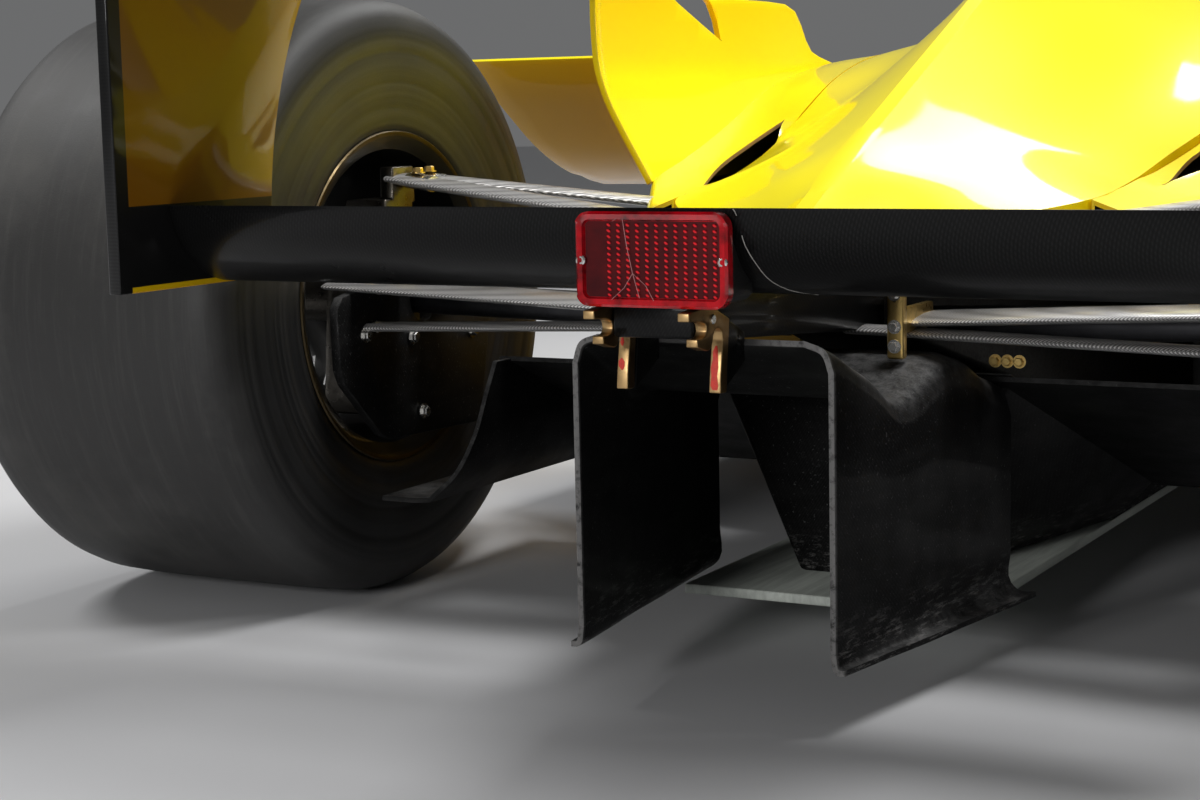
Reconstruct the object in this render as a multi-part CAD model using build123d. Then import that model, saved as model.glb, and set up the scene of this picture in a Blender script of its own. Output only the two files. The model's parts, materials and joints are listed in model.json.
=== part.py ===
from build123d import *
from math import cos, radians, sin
import os

# Open wheel racing car: a single seater on slick tyres, with wings at both ends.
# +X is the car's left, +Y its rear and +Z up. The origin is on the ground, in the
# middle of the car's length and width.

# Layout
wheelbase = 3050.0
front_overhang = 980.0  # front axle to the leading edge of the front wing
rear_overhang = 520.0  # rear axle to the rear edge of the wing's end plates
width_over_tyres = 1800.0
rear_axle = (front_overhang + wheelbase + rear_overhang) / 2 - rear_overhang
front_axle = rear_axle - wheelbase
nose_end = front_axle - front_overhang
tail_end = rear_axle + rear_overhang

# Tyres and rims
front_tyre_radius = 325.0
front_tyre_width = 300.0
rear_tyre_radius = 330.0
rear_tyre_width = 370.0
front_tyre_inner = width_over_tyres / 2 - front_tyre_width
rear_tyre_inner = width_over_tyres / 2 - rear_tyre_width
rim_radius = 183.0  # outside of the rim's lips
rim_lip_height = 12.0  # above the bead's seat
rim_wall = 9.0
wheel_sides = 40
bar_sides = 16
hub_depth = 30.0  # each way from the middle of the spokes
nut_height = 26.0
spoke_count = 10
hub_radius = 46.0
axle_radius = 30.0
spoke_disc_depth = 95.0  # from the wheel's outer side to the middle of its spokes
spoke_thickness = 18.0

# Skins
skin = 5.0
tub_wall = 22.0
seat_gap = 0.3  # between a piece and the one that carries it
flat_enough = 0.001  # volume, in cubic millimetres, under which four points make one panel
beyond = 3000.0  # longer than half the car, for cuts that run right out of a piece

# Underside
plank_bottom = 45.0
plank_thickness = 10.0
plank_top = plank_bottom + plank_thickness
plank_half_width = 150.0
plank_rear = rear_axle + 80
plank_front = front_axle + 330
step_height = 105.0  # top of the floor beside the plank
floor_thickness = 8.0
floor_half_width = 690.0

# Diffuser
ramp_start = rear_axle - 420
ramp_end = rear_axle
ramp_top = 270.0
ramp_half_width = rear_tyre_inner - 120
channel_rear = rear_axle + 344
channel_half_width = 125.0
channel_front_half_width = 160.0
channel_top = 337.0
channel_foot = 28.0  # flange turned out along the ground
foot_thickness = 4.0
channel_wall = 5.0

# Rear wing
beam_trailing_y = rear_axle + 449
beam_trailing_z = 454.0
beam_depth = 76.0
crash_top = beam_trailing_z - beam_depth - seat_gap
end_plate_inner = 487.0
end_plate_thickness = 13.0
end_plate_bottom = 377.0
end_plate_top = 865.0

# Steering
kingpin_x = front_tyre_inner + 32
kingpin_radius = 9.0
front_post = (44, 64, 200)  # width, length and height
axle_block = (60, 60, 80)
steering_arm_width = 28.0
steering_arm_thickness = 16.0
steering_arm = 110.0
track_rod_radius = 9.0
track_rod_z = 362.0
wheel_column_radius = 14.0


def across(y):
    """Plane across the car at y, with local x to the car's left and local y up."""
    return Plane(origin=(0, y, 0), x_dir=(1, 0, 0), z_dir=(0, -1, 0))


def lengthwise(x):
    """Plane along the car at x, with local x to the rear and local y up."""
    return Plane(origin=(x, 0, 0), x_dir=(0, 1, 0), z_dir=(1, 0, 0))


def on_both_sides(shape):
    """The shape and its mirror image on the car's other side."""
    return shape + mirror(shape, about=Plane.YZ)


def cut_corners(outline, size):
    """The outline with each corner cut off, at the same distance along both its sides."""
    corners = [Vector(*point) for point in outline]
    cut = []
    for index, corner in enumerate(corners):
        for neighbour in (corners[index - 1], corners[(index + 1) % len(corners)]):
            point = corner + (neighbour - corner).normalized() * size
            cut.append((point.X, point.Y))
    return cut


def plate(plane, points, thickness, corner=0.0):
    """A flat plate on a plane, with its corners cut off."""
    outline = cut_corners(points, corner) if corner > 0 else points
    return extrude(plane * Polygon(*outline, align=None), thickness, dir=plane.z_dir)


def moved(points, y):
    """Side view points given from y = 0, carried to y."""
    return [(y + along, z) for along, z in points]


def mirrored(half):
    """A closed outline from its left half, listed from the bottom up."""
    return list(half) + [(-x, z) for x, z in reversed(half)]


def panelled(loops):
    """A solid of flat panels through loops of matching points, closed at both ends."""
    outlines = [loops[0], loops[-1]]
    for near, far in zip(loops, loops[1:]):
        for index, here in enumerate(near):
            before, ahead, beside = near[index - 1], far[index - 1], far[index]
            if abs((here - before).cross(beside - before).dot(ahead - before)) < flat_enough:
                outlines.append([before, here, beside, ahead])
            else:
                outlines.append([before, here, beside])
                outlines.append([before, beside, ahead])
    return Solid(Shell([make_face(Polyline(*outline, close=True)) for outline in outlines]))


def body_through(sections):
    """A body of flat panels through outlines across the car, one at each y."""
    return panelled([[Vector(x, y, z) for x, z in outline] for y, outline in sections])


def wheel_form(rows, sides):
    """A many-sided body about the X axis, from rows of place and radius."""
    angles = [radians(index * 360 / sides) for index in range(sides)]
    return panelled([[Vector(x, radius * sin(angle), radius * cos(angle)) for angle in angles]
                     for x, radius in rows])


def profiled(side, plan):
    """A body whose side view and whose plan are both given, symmetrical about the car's middle."""
    widest = max(x for x, y in plan)
    highest = max(z for y, z in side)
    seen_from_side = plate(lengthwise(-widest), side, 2 * widest)
    seen_from_above = extrude(Polygon(*mirrored(plan), align=None), highest)
    return seen_from_side & seen_from_above


def rod(start, end, radius):
    """A bar from one point to another, round but for its many flat sides."""
    start, end = Vector(*start), Vector(*end)
    plane = Plane(origin=start, z_dir=(end - start).normalized())
    return extrude(plane * RegularPolygon(radius, bar_sides), (end - start).length)


def blade(start, end, chord, depth):
    """A streamlined arm from one point to another, its section long in the car's length."""
    start, end = Vector(*start), Vector(*end)
    axis = (end - start).normalized()
    rearwards = Vector(0, 1, 0)
    rearwards = (rearwards - axis * rearwards.dot(axis)).normalized()
    plane = Plane(origin=start, x_dir=rearwards, z_dir=axis)
    half_depth = depth / 2
    section = Polygon(
        (-chord * 0.5, 0), (-chord * 0.3, half_depth * 0.85), (chord * 0.05, half_depth),
        (chord * 0.5, 0), (chord * 0.05, -half_depth), (-chord * 0.3, -half_depth * 0.85), align=None)
    return extrude(plane * section, (end - start).length, dir=axis)


def aerofoil(points, x_start, x_end):
    """A wing of constant section from x_start to x_end, from its outline of arcs.

    The outline is a list of (through point, end point) arcs after the first point,
    in distances to the rear and up.
    """
    first, *steps = points
    edges = []
    start = first
    for through, end in steps:
        edges.append(ThreePointArc(start, through, end))
        start = end
    return extrude(lengthwise(x_start) * make_face(edges), x_end - x_start)


# Tub: hollow, with the cockpit cut in its top
cockpit_front = rear_axle - 2350
cockpit_rear = rear_axle - 1620
cover_front = rear_axle - 1560
tub_front = front_axle - 140
tub_rear = rear_axle - 1410
pods_front = rear_axle - 1900
cockpit_half_width = 235.0
leg_room_top = 435.0  # the dash hangs down to here
dash_y = cockpit_front - 80
dash_thickness = 12.0
steering_wheel_z = 520.0
steering_wheel_y = cockpit_front + 90
# Columns: y, half width and height at the bottom edge, the waist and the top edge, then
# how much is cut off the corners
tub_table = [
    (tub_front, 115, 330, 150, 470, 105, 600, 30),
    (front_axle + 450, 150, 215, 215, 430, 140, 635, 36),
    (rear_axle - 2100, 215, 120, 300, 400, 235, 625, 40),
    (tub_rear, 250, 106, 330, 400, 290, 610, 30),
]


def hull_form(table, inset=0.0):
    """A tub's or nose's form from its table, solid and drawn in by the inset."""
    sections = []
    for y, bottom_x, bottom_z, waist_x, waist_z, top_x, top_z, corner in table:
        half = [(bottom_x - inset, bottom_z + inset), (waist_x - inset, waist_z),
                (top_x - inset, top_z - inset)]
        sections.append((y, cut_corners(mirrored(half), corner - inset / 2)))
    return body_through(sections)


def make_tub():
    tub = hull_form(tub_table)
    room = hull_form(tub_table, tub_wall)
    inside = Box(beyond, tub_rear - tub_front - 2 * tub_wall, beyond)
    room &= Pos(0, (tub_front + tub_rear) / 2, 0) * inside
    tub -= room
    below_floor = Box(beyond, 2 * beyond, beyond, align=(Align.CENTER, Align.CENTER, Align.MAX))
    tub -= Pos(0, 0, step_height + seat_gap) * below_floor
    opening = mirrored([(110, cockpit_front), (cockpit_half_width, cockpit_front + 380),
                        (cockpit_half_width, cockpit_rear)])
    tub -= plate(Plane.XY.offset(leg_room_top), opening, beyond, 50)
    dash = Box(beyond, dash_thickness, beyond, align=(Align.CENTER, Align.CENTER, Align.MIN))
    tub += Pos(0, dash_y, leg_room_top) * dash & room
    tub -= rod((0, dash_y - dash_thickness, steering_wheel_z),
               (0, dash_y + dash_thickness, steering_wheel_z), wheel_column_radius + seat_gap)
    rack_y = front_axle - steering_arm
    tub -= rod((-kingpin_x, rack_y, track_rod_z), (kingpin_x, rack_y, track_rod_z),
               track_rod_radius + seat_gap)
    return tub


# Nose: columns as for the tub
nose_table = [
    (front_axle - 905, 48, 248, 70, 290, 48, 334, 18),
    (front_axle - 800, 64, 240, 90, 294, 62, 356, 22),
    (front_axle - 500, 90, 268, 122, 370, 82, 478, 26),
    (tub_front, 115, 330, 150, 470, 105, 600, 30),
]
pylon_x = 62.0
pylon_thickness = 12.0
front_wing_top = 118.0


def make_nose():
    nose = hull_form(nose_table)
    outline = [(front_axle - 860, 268), (front_axle - 650, 300),
               (front_axle - 690, front_wing_top), (front_axle - 880, front_wing_top)]
    pylon = plate(lengthwise(pylon_x - pylon_thickness / 2), outline, pylon_thickness)
    return nose + on_both_sides(pylon)


# Front wing
front_wing_half_span = 690.0
front_wing_chord = 300.0
front_plate_thickness = 10.0
front_plate_rear = front_axle - 440


def make_front_wing():
    lead = nose_end + 12
    trail = lead + front_wing_chord
    points = [
        (lead, 95),
        ((lead + 90, front_wing_top), (trail, 112)),
        ((lead + 150, 70), (lead, 95)),
    ]
    wing = aerofoil(points, -front_wing_half_span + 0.5, front_wing_half_span - 0.5)
    seat = Box(2 * pylon_x + 40, 600, 200)
    wing -= Pos(0, front_axle - 780, front_wing_top + 99.9) * seat
    return wing


def make_front_flaps():
    lead = nose_end + 12 + front_wing_chord - 40
    flap = aerofoil([
        (lead, 128),
        ((lead + 90, 175), (lead + 190, 245)),
        ((lead + 110, 160), (lead, 128)),
    ], 130, front_wing_half_span - 0.5)
    return on_both_sides(flap)


def make_front_plates():
    points = [(nose_end, 52), (front_plate_rear, 52), (front_plate_rear, 285),
              (front_axle - 620, 285), (nose_end + 60, 190), (nose_end, 130)]
    upright = plate(lengthwise(front_wing_half_span), points, front_plate_thickness)
    foot = Pos(front_wing_half_span - 25, (nose_end + front_plate_rear) / 2, 55)
    foot = foot * Box(50, front_plate_rear - nose_end, 6)
    return on_both_sides(upright + foot)


# Engine cover: a spine that falls from the air box to a ridge at the tail
# Columns: distance behind the rear axle, height of the hem, then half width and height
# above the hem, low and high on the flank, and at the ridge
cover_table = [
    (-1560, 616, 336, 636, 200, 675, 112, 805, 82, 935),
    (-1350, 560, 338, 600, 190, 645, 100, 790, 58, 950),
    (-1080, 556, 320, 598, 180, 636, 88, 756, 34, 884),
    (-800, 550, 297, 590, 170, 628, 75, 715, 16, 805),
    (-640, 520, 280, 563, 166, 598, 68, 675, 11, 747),
    (-460, 468, 259, 510, 160, 552, 65, 628, 9, 681),
    (-310, 428, 237, 473, 160, 514, 65, 578, 9, 617),
    (-180, 404, 229, 448, 156, 481, 63, 531, 9, 562),
    (-60, 385, 222, 436, 150, 458, 60, 489, 9, 511),
    (30, 385, 165, 424, 110, 440, 48, 464, 9, 474),
    (112, 385, 70, 405, 50, 413, 26, 426, 9, 437),
    (200, 376, 50, 385, 35, 389, 20, 396, 9, 402),
]
air_inlet_half_width = 60.0
air_inlet_low = 785.0
air_inlet_high = 915.0
air_box_wall = 8.0


def cover_outline(row, inset):
    """The cover's outline at one row of its table, drawn in by the inset."""
    y, hem_z, edge_x, edge_z, low_x, low_z, high_x, high_z, ridge_x, ridge_z = row
    return mirrored([
        (edge_x - inset, hem_z - 8 * inset), (edge_x - inset, edge_z - inset),
        (low_x - inset, low_z - inset), (high_x - inset, high_z - inset),
        (max(ridge_x - inset, 3), ridge_z - 2 * inset),
    ])


def cover_form(inset):
    return body_through([(rear_axle + row[0], cover_outline(row, inset)) for row in cover_table])


def make_engine_cover():
    outside = cover_form(0)
    cover = outside - cover_form(skin)
    first = cover_outline(cover_table[0], 0)
    bulkhead = plate(across(cover_front + air_box_wall), first, air_box_wall) & outside
    inlet = mirrored([(air_inlet_half_width, air_inlet_low), (air_inlet_half_width - 8, air_inlet_high)])
    bulkhead -= plate(across(cover_front + 2 * air_box_wall), inlet, 4 * air_box_wall, 20)
    return cover + bulkhead


# Side pods: a duct on each side from the inlet to the narrow tail
# Columns: distance behind the rear axle, then x and height along the deck from its inner
# to its outer edge, and x and height at the bottom's outer edge
pod_table = [
    (-1900, 345, 560, 450, 562, 570, 530, 655, 455, 655, 105.3),
    (-1350, 345, 600, 460, 594, 590, 555, 675, 480, 655, 105.3),
    (-1080, 324, 598, 428, 588, 552, 546, 642, 470, 600, 105.3),
    (-800, 300, 590, 390, 574, 500, 528, 590, 450, 500, 105.3),
    (-640, 283, 562, 360, 538, 450, 504, 530, 450, 420, 170),
    (-460, 262, 510, 325, 490, 395, 476, 462, 452, 340, 250),
    (-310, 240, 473, 290, 460, 345, 450, 392, 440, 300, 330),
    (-180, 232, 448, 262, 440, 295, 433, 325, 428, 275, 360),
    (-60, 225, 436, 238, 431, 251, 426, 262, 420, 255, 385),
]


def pod_block(inset=0.0):
    """The left pod's form, solid and drawn in by the inset."""
    sections = []
    for y, inner_x, inner_z, near_x, near_z, far_x, far_z, outer_x, outer_z, low_x, low_z in pod_table:
        sections.append((rear_axle + y, [
            (inner_x + inset, low_z + inset), (low_x - inset, low_z + inset),
            (outer_x - inset, outer_z - inset), (far_x, far_z - inset), (near_x, near_z - inset),
            (inner_x + inset, inner_z - inset),
        ]))
    return body_through(sections)


# Gill: a slot in the deck beside the engine cover's hem
gill_rear = (257.0, rear_axle - 195)
gill_front = (289.0, rear_axle - 495)
gill_width = 26.0


def make_side_pods():
    middle_x = (gill_rear[0] + gill_front[0]) / 2
    middle_y = (gill_rear[1] + gill_front[1]) / 2
    gill = make_face([
        ThreePointArc(gill_rear, (middle_x + gill_width / 2, middle_y), gill_front),
        ThreePointArc(gill_front, (middle_x - gill_width / 2, middle_y), gill_rear),
    ])
    return on_both_sides(pod_block() - pod_block(skin) - extrude(gill, beyond))


# Fins on the pods' rear corners, and the ramps ahead of the rear tyres
def make_flip_ups():
    fin = plate(across(rear_axle - 305), [
        (384, 440), (407, 487), (442, 542), (456, 592), (456, 705),
        (464, 705), (464, 588), (450, 538), (415, 481), (392, 440),
    ], 735)
    lobes = plate(lengthwise(300), moved([
        (-1040, 430), (-300, 430), (-305, 705), (-420, 705), (-518, 664), (-648, 616),
        (-617, 668), (-852, 670), (-905, 655), (-935, 620), (-975, 598), (-1040, 585),
    ], rear_axle), 300)
    y = rear_axle
    ramp = extrude(lengthwise(458) * make_face([
        ThreePointArc((y - 720, 425), (y - 590, 470), (y - 500, 595)),
        Line((y - 500, 595), (y - 508, 597)),
        ThreePointArc((y - 508, 597), (y - 597, 478), (y - 722, 433)),
        Line((y - 722, 433), (y - 720, 425)),
    ]), 294)
    ramp &= plate(across(y - 480), [(400, 400), (665, 400), (675, 441), (752, 600), (400, 600)], 300)
    return on_both_sides((fin & lobes) + ramp - pod_block(-seat_gap))


# Floor, plank and diffuser
def make_floor():
    outline = mirrored([
        (250, pods_front - 300), (floor_half_width, pods_front + 30),
        (floor_half_width, rear_axle - 520), (ramp_half_width, ramp_start),
    ])
    board = extrude(Plane.XY.offset(step_height - floor_thickness)
                    * Polygon(*outline, align=None), floor_thickness)
    centre_length = ramp_start - plank_front
    centre = Pos(0, (ramp_start + plank_front) / 2, 0) * Box(
        2 * plank_half_width, centre_length, step_height - plank_top,
        align=(Align.CENTER, Align.CENTER, Align.MIN))
    return board + Pos(0, 0, plank_top) * centre


def make_plank():
    size = (2 * plank_half_width, plank_rear - plank_front, plank_thickness)
    return Pos(0, (plank_rear + plank_front) / 2, plank_bottom + plank_thickness / 2) * Box(*size)


def make_diffuser():
    low = plank_top + seat_gap
    ramp = plate(lengthwise(0), [
        (ramp_start, step_height - floor_thickness), (ramp_end, ramp_top - floor_thickness),
        (ramp_end, ramp_top), (ramp_start, step_height),
    ], ramp_half_width)
    # The side fence curves outwards to a flat foot
    x = ramp_half_width
    section = make_face([
        ThreePointArc((x - 9, 266), (x - 4, 190), (x + 40, 124)),
        Line((x + 40, 124), (x + 96, 122)),
        Line((x + 96, 122), (x + 96, 117)),
        Line((x + 96, 117), (x + 38, 118.5)),
        ThreePointArc((x + 38, 118.5), (x - 10, 188), (x - 15, 266)),
        Line((x - 15, 266), (x - 9, 266)),
    ])
    fence = extrude(across(ramp_end + 95) * section, 385)
    fence &= plate(lengthwise(x - 50), moved([
        (-290, 100), (95, 100), (88, 135), (28, 268), (-8, 268), (-290, 158),
    ], ramp_end), 200)
    sides = on_both_sides(ramp + fence)
    keel = body_through([
        (ramp_start, mirrored([(plank_half_width, low), (plank_half_width + 50, step_height)])),
        (ramp_end - 20, mirrored([(66, low), (channel_front_half_width, ramp_top)])),
    ])
    return sides + keel + channel_shell()


# Centre channel: distance behind the rear axle, half width, roof and corner size.
# The roof dips in the middle, under the rear suspension's legs
channel_table = [
    (-15, channel_front_half_width, ramp_top + 2, 40),
    (60, 153, 293, 42),
    (130, 147, 305, 42),
    (190, 140, 301, 39),
    (244, 134, 298, 36),
    (300, 128, 313, 30),
    (344, channel_half_width, channel_top, 25),
]


def channel_form(inset):
    """The channel's outline, lofted from front to rear and drawn in by the inset."""
    low = plank_top + seat_gap
    sections = []
    for y, half_width, roof, corner in channel_table:
        x = half_width - inset
        z = roof - inset
        size = corner - inset
        bend = 0.29 * size  # how far the middle of a rounded corner lies inside the square one
        half = [(x, low), (x, z - size), (x - bend, z - bend), (x - size, z)]
        sections.append((rear_axle + y, mirrored(half)))
    return body_through(sections)


def channel_shell():
    """The tall centre channel: an upturned U with feet turned out at the bottom."""
    low = plank_top + seat_gap
    shell = channel_form(0) - channel_form(channel_wall)
    first_y = rear_axle + channel_table[0][0]
    foot = plate(Plane.XY.offset(low), [
        (channel_half_width - channel_wall, channel_rear),
        (channel_half_width + channel_foot, channel_rear),
        (channel_front_half_width + 6, first_y),
        (channel_front_half_width - channel_wall, first_y)], foot_thickness)
    return shell + on_both_sides(foot)


# Engine, gearbox and crash structure
gearbox_front = rear_axle - 780
gearbox_rear = rear_axle + 60
gearbox_half_width = 60.0
gearbox_top = 372.0
gearbox_low = 318.0
crash_half_width = 37.6


def make_engine():
    block = Box(400, gearbox_front - tub_rear, 330, align=(Align.CENTER, Align.CENTER, Align.MIN))
    return Pos(0, (tub_rear + gearbox_front) / 2, step_height + 1) * block


def make_gearbox():
    side = [
        (gearbox_front, 108), (ramp_start - 5, 108), (ramp_start, 182), (gearbox_rear, gearbox_low),
        (gearbox_rear, gearbox_top), (ramp_start, 395), (gearbox_front, 400),
    ]
    plan = [(150, gearbox_front), (110, ramp_start), (gearbox_half_width, gearbox_rear)]
    return profiled(side, plan)


def make_crash_structure():
    rear = rear_axle + 430
    side = [
        (gearbox_rear, gearbox_low), (channel_rear, channel_top + seat_gap), (rear, 345),
        (rear, crash_top), (channel_rear, crash_top), (gearbox_rear, gearbox_top),
    ]
    plan = [(gearbox_half_width, gearbox_rear), (crash_half_width, channel_rear),
            (crash_half_width, rear)]
    return profiled(side, plan)


# Lamp and jacking hooks. The lamp stands a little right of the car's middle
lamp_x = -14.0
lamp_half_width = 69.0
lamp_low = 373.0
lamp_high = 451.0
lamp_face = rear_axle + 460
lamp_lens_depth = 11.0
lamp_box_depth = 45.0
lamp_rim = 4.0  # how far the lens stands out round its box


def make_lamp_housing():
    """A box behind the lens, cut away where the wing beam and its post stand."""
    left = lamp_x + lamp_half_width - lamp_rim
    right = lamp_x - lamp_half_width + lamp_rim
    low = lamp_low + lamp_rim
    high = lamp_high - lamp_rim
    box = plate(across(lamp_face - lamp_lens_depth), [
        (right, low), (left, low), (left, high), (right, high),
    ], lamp_box_depth, 5)
    box -= make_wing_beam() + make_crash_structure()
    return box.solids().sort_by(SortBy.VOLUME)[-1]


def make_lamp_lens():
    outline = RectangleRounded(2 * lamp_half_width, lamp_high - lamp_low, 13)
    outline = Pos(lamp_x, (lamp_low + lamp_high) / 2) * outline
    return extrude(across(lamp_face) * outline, lamp_lens_depth)


hook_x = crash_half_width + seat_gap  # inner face
hook_thickness = 11.0
fin_thickness = 6.0


def make_hooks():
    """Two claws bolted beside the crash structure, each with a long shank and a lower jaw."""
    claw = plate(lengthwise(hook_x), moved([
        (476, 363), (476, 371.5), (436, 372), (412, 370), (381, 359), (385, 330), (390, 297),
        (408, 297), (405, 325), (404, 342), (408, 351), (414, 352), (411, 345), (412, 335),
        (450, 341), (450, 349), (434, 352), (434, 361), (446, 361),
    ], rear_axle), hook_thickness)
    return on_both_sides(claw)


def make_hook_fins():
    fin = plate(lengthwise(hook_x), moved([
        (344.3, 318), (389.2, 297), (384.6, 330), (380.6, 358.6), (344.3, 343),
    ], rear_axle), fin_thickness)
    return on_both_sides(fin)


# Rear wing
def make_wing_beam():
    y = beam_trailing_y
    z = beam_trailing_z
    lowest = (y - 92, z - beam_depth)
    leading = (y - 185, z - 46)
    edges = [
        TangentArc(lowest, (y, z), tangent=(1, 0)),
        TangentArc(lowest, leading, tangent=(-1, 0)),
        ThreePointArc(leading, (y - 100, z - 50), (y, z)),
    ]
    half_span = end_plate_inner - seat_gap
    return extrude(lengthwise(-half_span) * make_face(edges), 2 * half_span, dir=(1, 0, 0))


def make_rear_wing():
    y = rear_axle + 230
    points = [
        (y, 770),
        ((y + 60, 740), (y + 215, 800)),
        ((y + 90, 778), (y, 770)),
    ]
    return aerofoil(points, -end_plate_inner + 0.1, end_plate_inner - 0.1)


def make_rear_flap():
    y = rear_axle + 436
    points = [
        (y, 812),
        ((y + 45, 822), (y + 80, 860)),
        ((y + 35, 836), (y, 812)),
    ]
    return aerofoil(points, -end_plate_inner + 0.1, end_plate_inner - 0.1)


def make_end_plates():
    y = rear_axle
    edges = [
        Line((y + 352, end_plate_bottom), (tail_end, end_plate_bottom)),
        Line((tail_end, end_plate_bottom), (tail_end, end_plate_top)),
        Line((tail_end, end_plate_top), (y + 150, end_plate_top)),
        Line((y + 150, end_plate_top), (y + 130, 760)),
        ThreePointArc((y + 130, 760), (y + 248, 612), (y + 292, 446)),
        ThreePointArc((y + 292, 446), (y + 308, 398), (y + 352, end_plate_bottom)),
    ]
    return on_both_sides(extrude(lengthwise(end_plate_inner) * make_face(edges), end_plate_thickness))


# Wheels
bead_inset = 5.0  # rim lip's end inside the tyre's widest part


def tyre(radius, width):
    """A slick tyre about the X axis, centred on its own middle."""
    half = width / 2 - 1
    lip_x = half - bead_inset
    seat = rim_radius - rim_lip_height + seat_gap
    side = [(half - 24, radius), (half, radius - 40),
            (lip_x - 2, rim_radius - 0.7), (lip_x - rim_lip_height - 1, seat)]
    outline = [(-x, r) for x, r in reversed(side)] + side
    hole = wheel_form([(-width, seat), (width, seat)], wheel_sides)
    return wheel_form(outline, wheel_sides) - hole


def rim(width, outboard):
    """A wheel about the X axis: barrel with lips, a spoked face and a centre boss."""
    half = width / 2
    lip_x = half - 1 - bead_inset
    seat = rim_radius - rim_lip_height
    bore = seat - rim_wall
    barrel = wheel_form([(-lip_x, rim_radius), (-lip_x + rim_lip_height, seat),
                         (lip_x - rim_lip_height, seat), (lip_x, rim_radius)], wheel_sides)
    barrel -= wheel_form([(-width, bore), (width, bore)], wheel_sides)
    face_x = outboard * (half - spoke_disc_depth)
    disc_start = face_x - spoke_thickness / 2
    disc = wheel_form([(disc_start, bore), (disc_start + spoke_thickness, bore)], wheel_sides)
    disc_plane = Plane(origin=(disc_start, 0, 0), z_dir=(1, 0, 0))
    window = Polygon((62, -12), (134, -30), (150, 0), (134, 30), (62, 12), align=None)
    for index in range(spoke_count):
        turned = Rot(0, 0, index * 360 / spoke_count) * window
        disc -= extrude(disc_plane * turned, spoke_thickness)
    boss = wheel_form([(face_x - hub_depth, hub_radius), (face_x + hub_depth, hub_radius)],
                      bar_sides)
    nut_base = face_x + outboard * hub_depth
    nut = extrude(Plane(origin=(nut_base, 0, 0), z_dir=(outboard, 0, 0))
                  * RegularPolygon(38, 6), nut_height)
    return barrel + disc + boss + nut


front_wheel_x = width_over_tyres / 2 - front_tyre_width / 2
rear_wheel_x = width_over_tyres / 2 - rear_tyre_width / 2


def stub(wheel_x, width, inner_x):
    """The left axle that carries a wheel, from the upright to the wheel's hub."""
    end_x = wheel_x + width / 2 - spoke_disc_depth - hub_depth - seat_gap
    return rod((inner_x, 0, 0), (end_x, 0, 0), axle_radius)


def make_front_upright():
    """Left front upright: post on the kingpin, stub axle, steering arm and brake duct."""
    axle = Pos(0, front_axle, front_tyre_radius) * stub(front_wheel_x, front_tyre_width, kingpin_x)
    post = Pos(kingpin_x, front_axle, front_tyre_radius) * Box(*front_post)
    pin_reach = ball_joint_rise - front_arm_depth / 2 - seat_gap
    post += rod((kingpin_x, front_axle, front_tyre_radius - pin_reach),
                (kingpin_x, front_axle, front_tyre_radius + pin_reach), kingpin_radius)
    block = Box(*axle_block, align=(Align.MIN, Align.CENTER, Align.CENTER))
    post += Pos(kingpin_x, front_axle, front_tyre_radius) * block
    half = steering_arm_width / 2
    arm = plate(Plane.XY.offset(track_rod_z + track_rod_radius + seat_gap), [
        (kingpin_x - half, front_axle - 30), (kingpin_x - half, front_axle - steering_arm - half),
        (kingpin_x + half, front_axle - steering_arm - half), (kingpin_x + half, front_axle - 30),
    ], steering_arm_thickness, 10)
    return axle + post + arm


def make_track_rods():
    y = front_axle - steering_arm
    bar = rod((-kingpin_x + 10, y, track_rod_z), (kingpin_x - 10, y, track_rod_z), track_rod_radius)
    eye_face = Pos(kingpin_x, y) * RegularPolygon(15, 8)
    eye = extrude(Plane.XY.offset(track_rod_z - track_rod_radius + 2) * eye_face,
                  2 * track_rod_radius - 2)
    return bar + on_both_sides(eye)


steering_wheel_size = (270, 170)
steering_wheel_hub = (240, 70)
grip_thickness = 22.0


def make_steering_wheel():
    column_front = cockpit_front - 110
    column = rod((0, column_front, steering_wheel_z),
                 (0, steering_wheel_y, steering_wheel_z), wheel_column_radius)
    width, height = steering_wheel_size
    outside = chamfer(Rectangle(width, height).vertices(), 48)
    inside = Rectangle(width - 2 * grip_thickness, height - 2 * grip_thickness)
    grip_outline = outside - chamfer(inside.vertices(), 34)
    grip = extrude(across(steering_wheel_y + 26) * Pos(0, steering_wheel_z) * grip_outline, 26)
    hub_outline = chamfer(Rectangle(*steering_wheel_hub).vertices(), 16)
    hub = extrude(across(steering_wheel_y + 22) * Pos(0, steering_wheel_z) * hub_outline, 22)
    return column + grip + hub


# Suspension arms, fixed at their ride height
ball_joint_rise = 118.0  # above and below the wheel's centre
front_arm_depth = 14.0
front_arm_chord = 40.0
push_rod_radius = 10.0


def make_front_wishbones():
    """Two V-shaped arms a side, each with an eye over the kingpin, and the push rod."""
    top = front_tyre_radius + ball_joint_rise
    low = front_tyre_radius - ball_joint_rise
    shapes = []
    for z_out, z_in in ((top, 520), (low, 350)):
        eye_face = Pos(kingpin_x, front_axle) * RegularPolygon(21, 8)
        eye = extrude(Plane.XY.offset(z_out - front_arm_depth / 2) * eye_face, front_arm_depth)
        shapes.append(eye)
        for y_in in (-90, 250):
            arm = blade((120, front_axle + y_in, z_in), (kingpin_x - 8, front_axle, z_out),
                        front_arm_chord, front_arm_depth - 4)
            shapes.append(arm)
    push_rod_end = (130, front_axle + 60, 500)
    shapes.append(rod((kingpin_x - 60, front_axle, low), push_rod_end, push_rod_radius))
    both = shapes[0]
    for shape in shapes[1:]:
        both += shape
    return on_both_sides(both)


upright_x = rear_tyre_inner + 4
duct_x = rear_tyre_inner - 25
duct_thickness = 12.0
drive_shaft_radius = 17.0
rear_post = (80, 84, 236)  # width, length and height
rear_bracket = (28, 66, 40)

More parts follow.
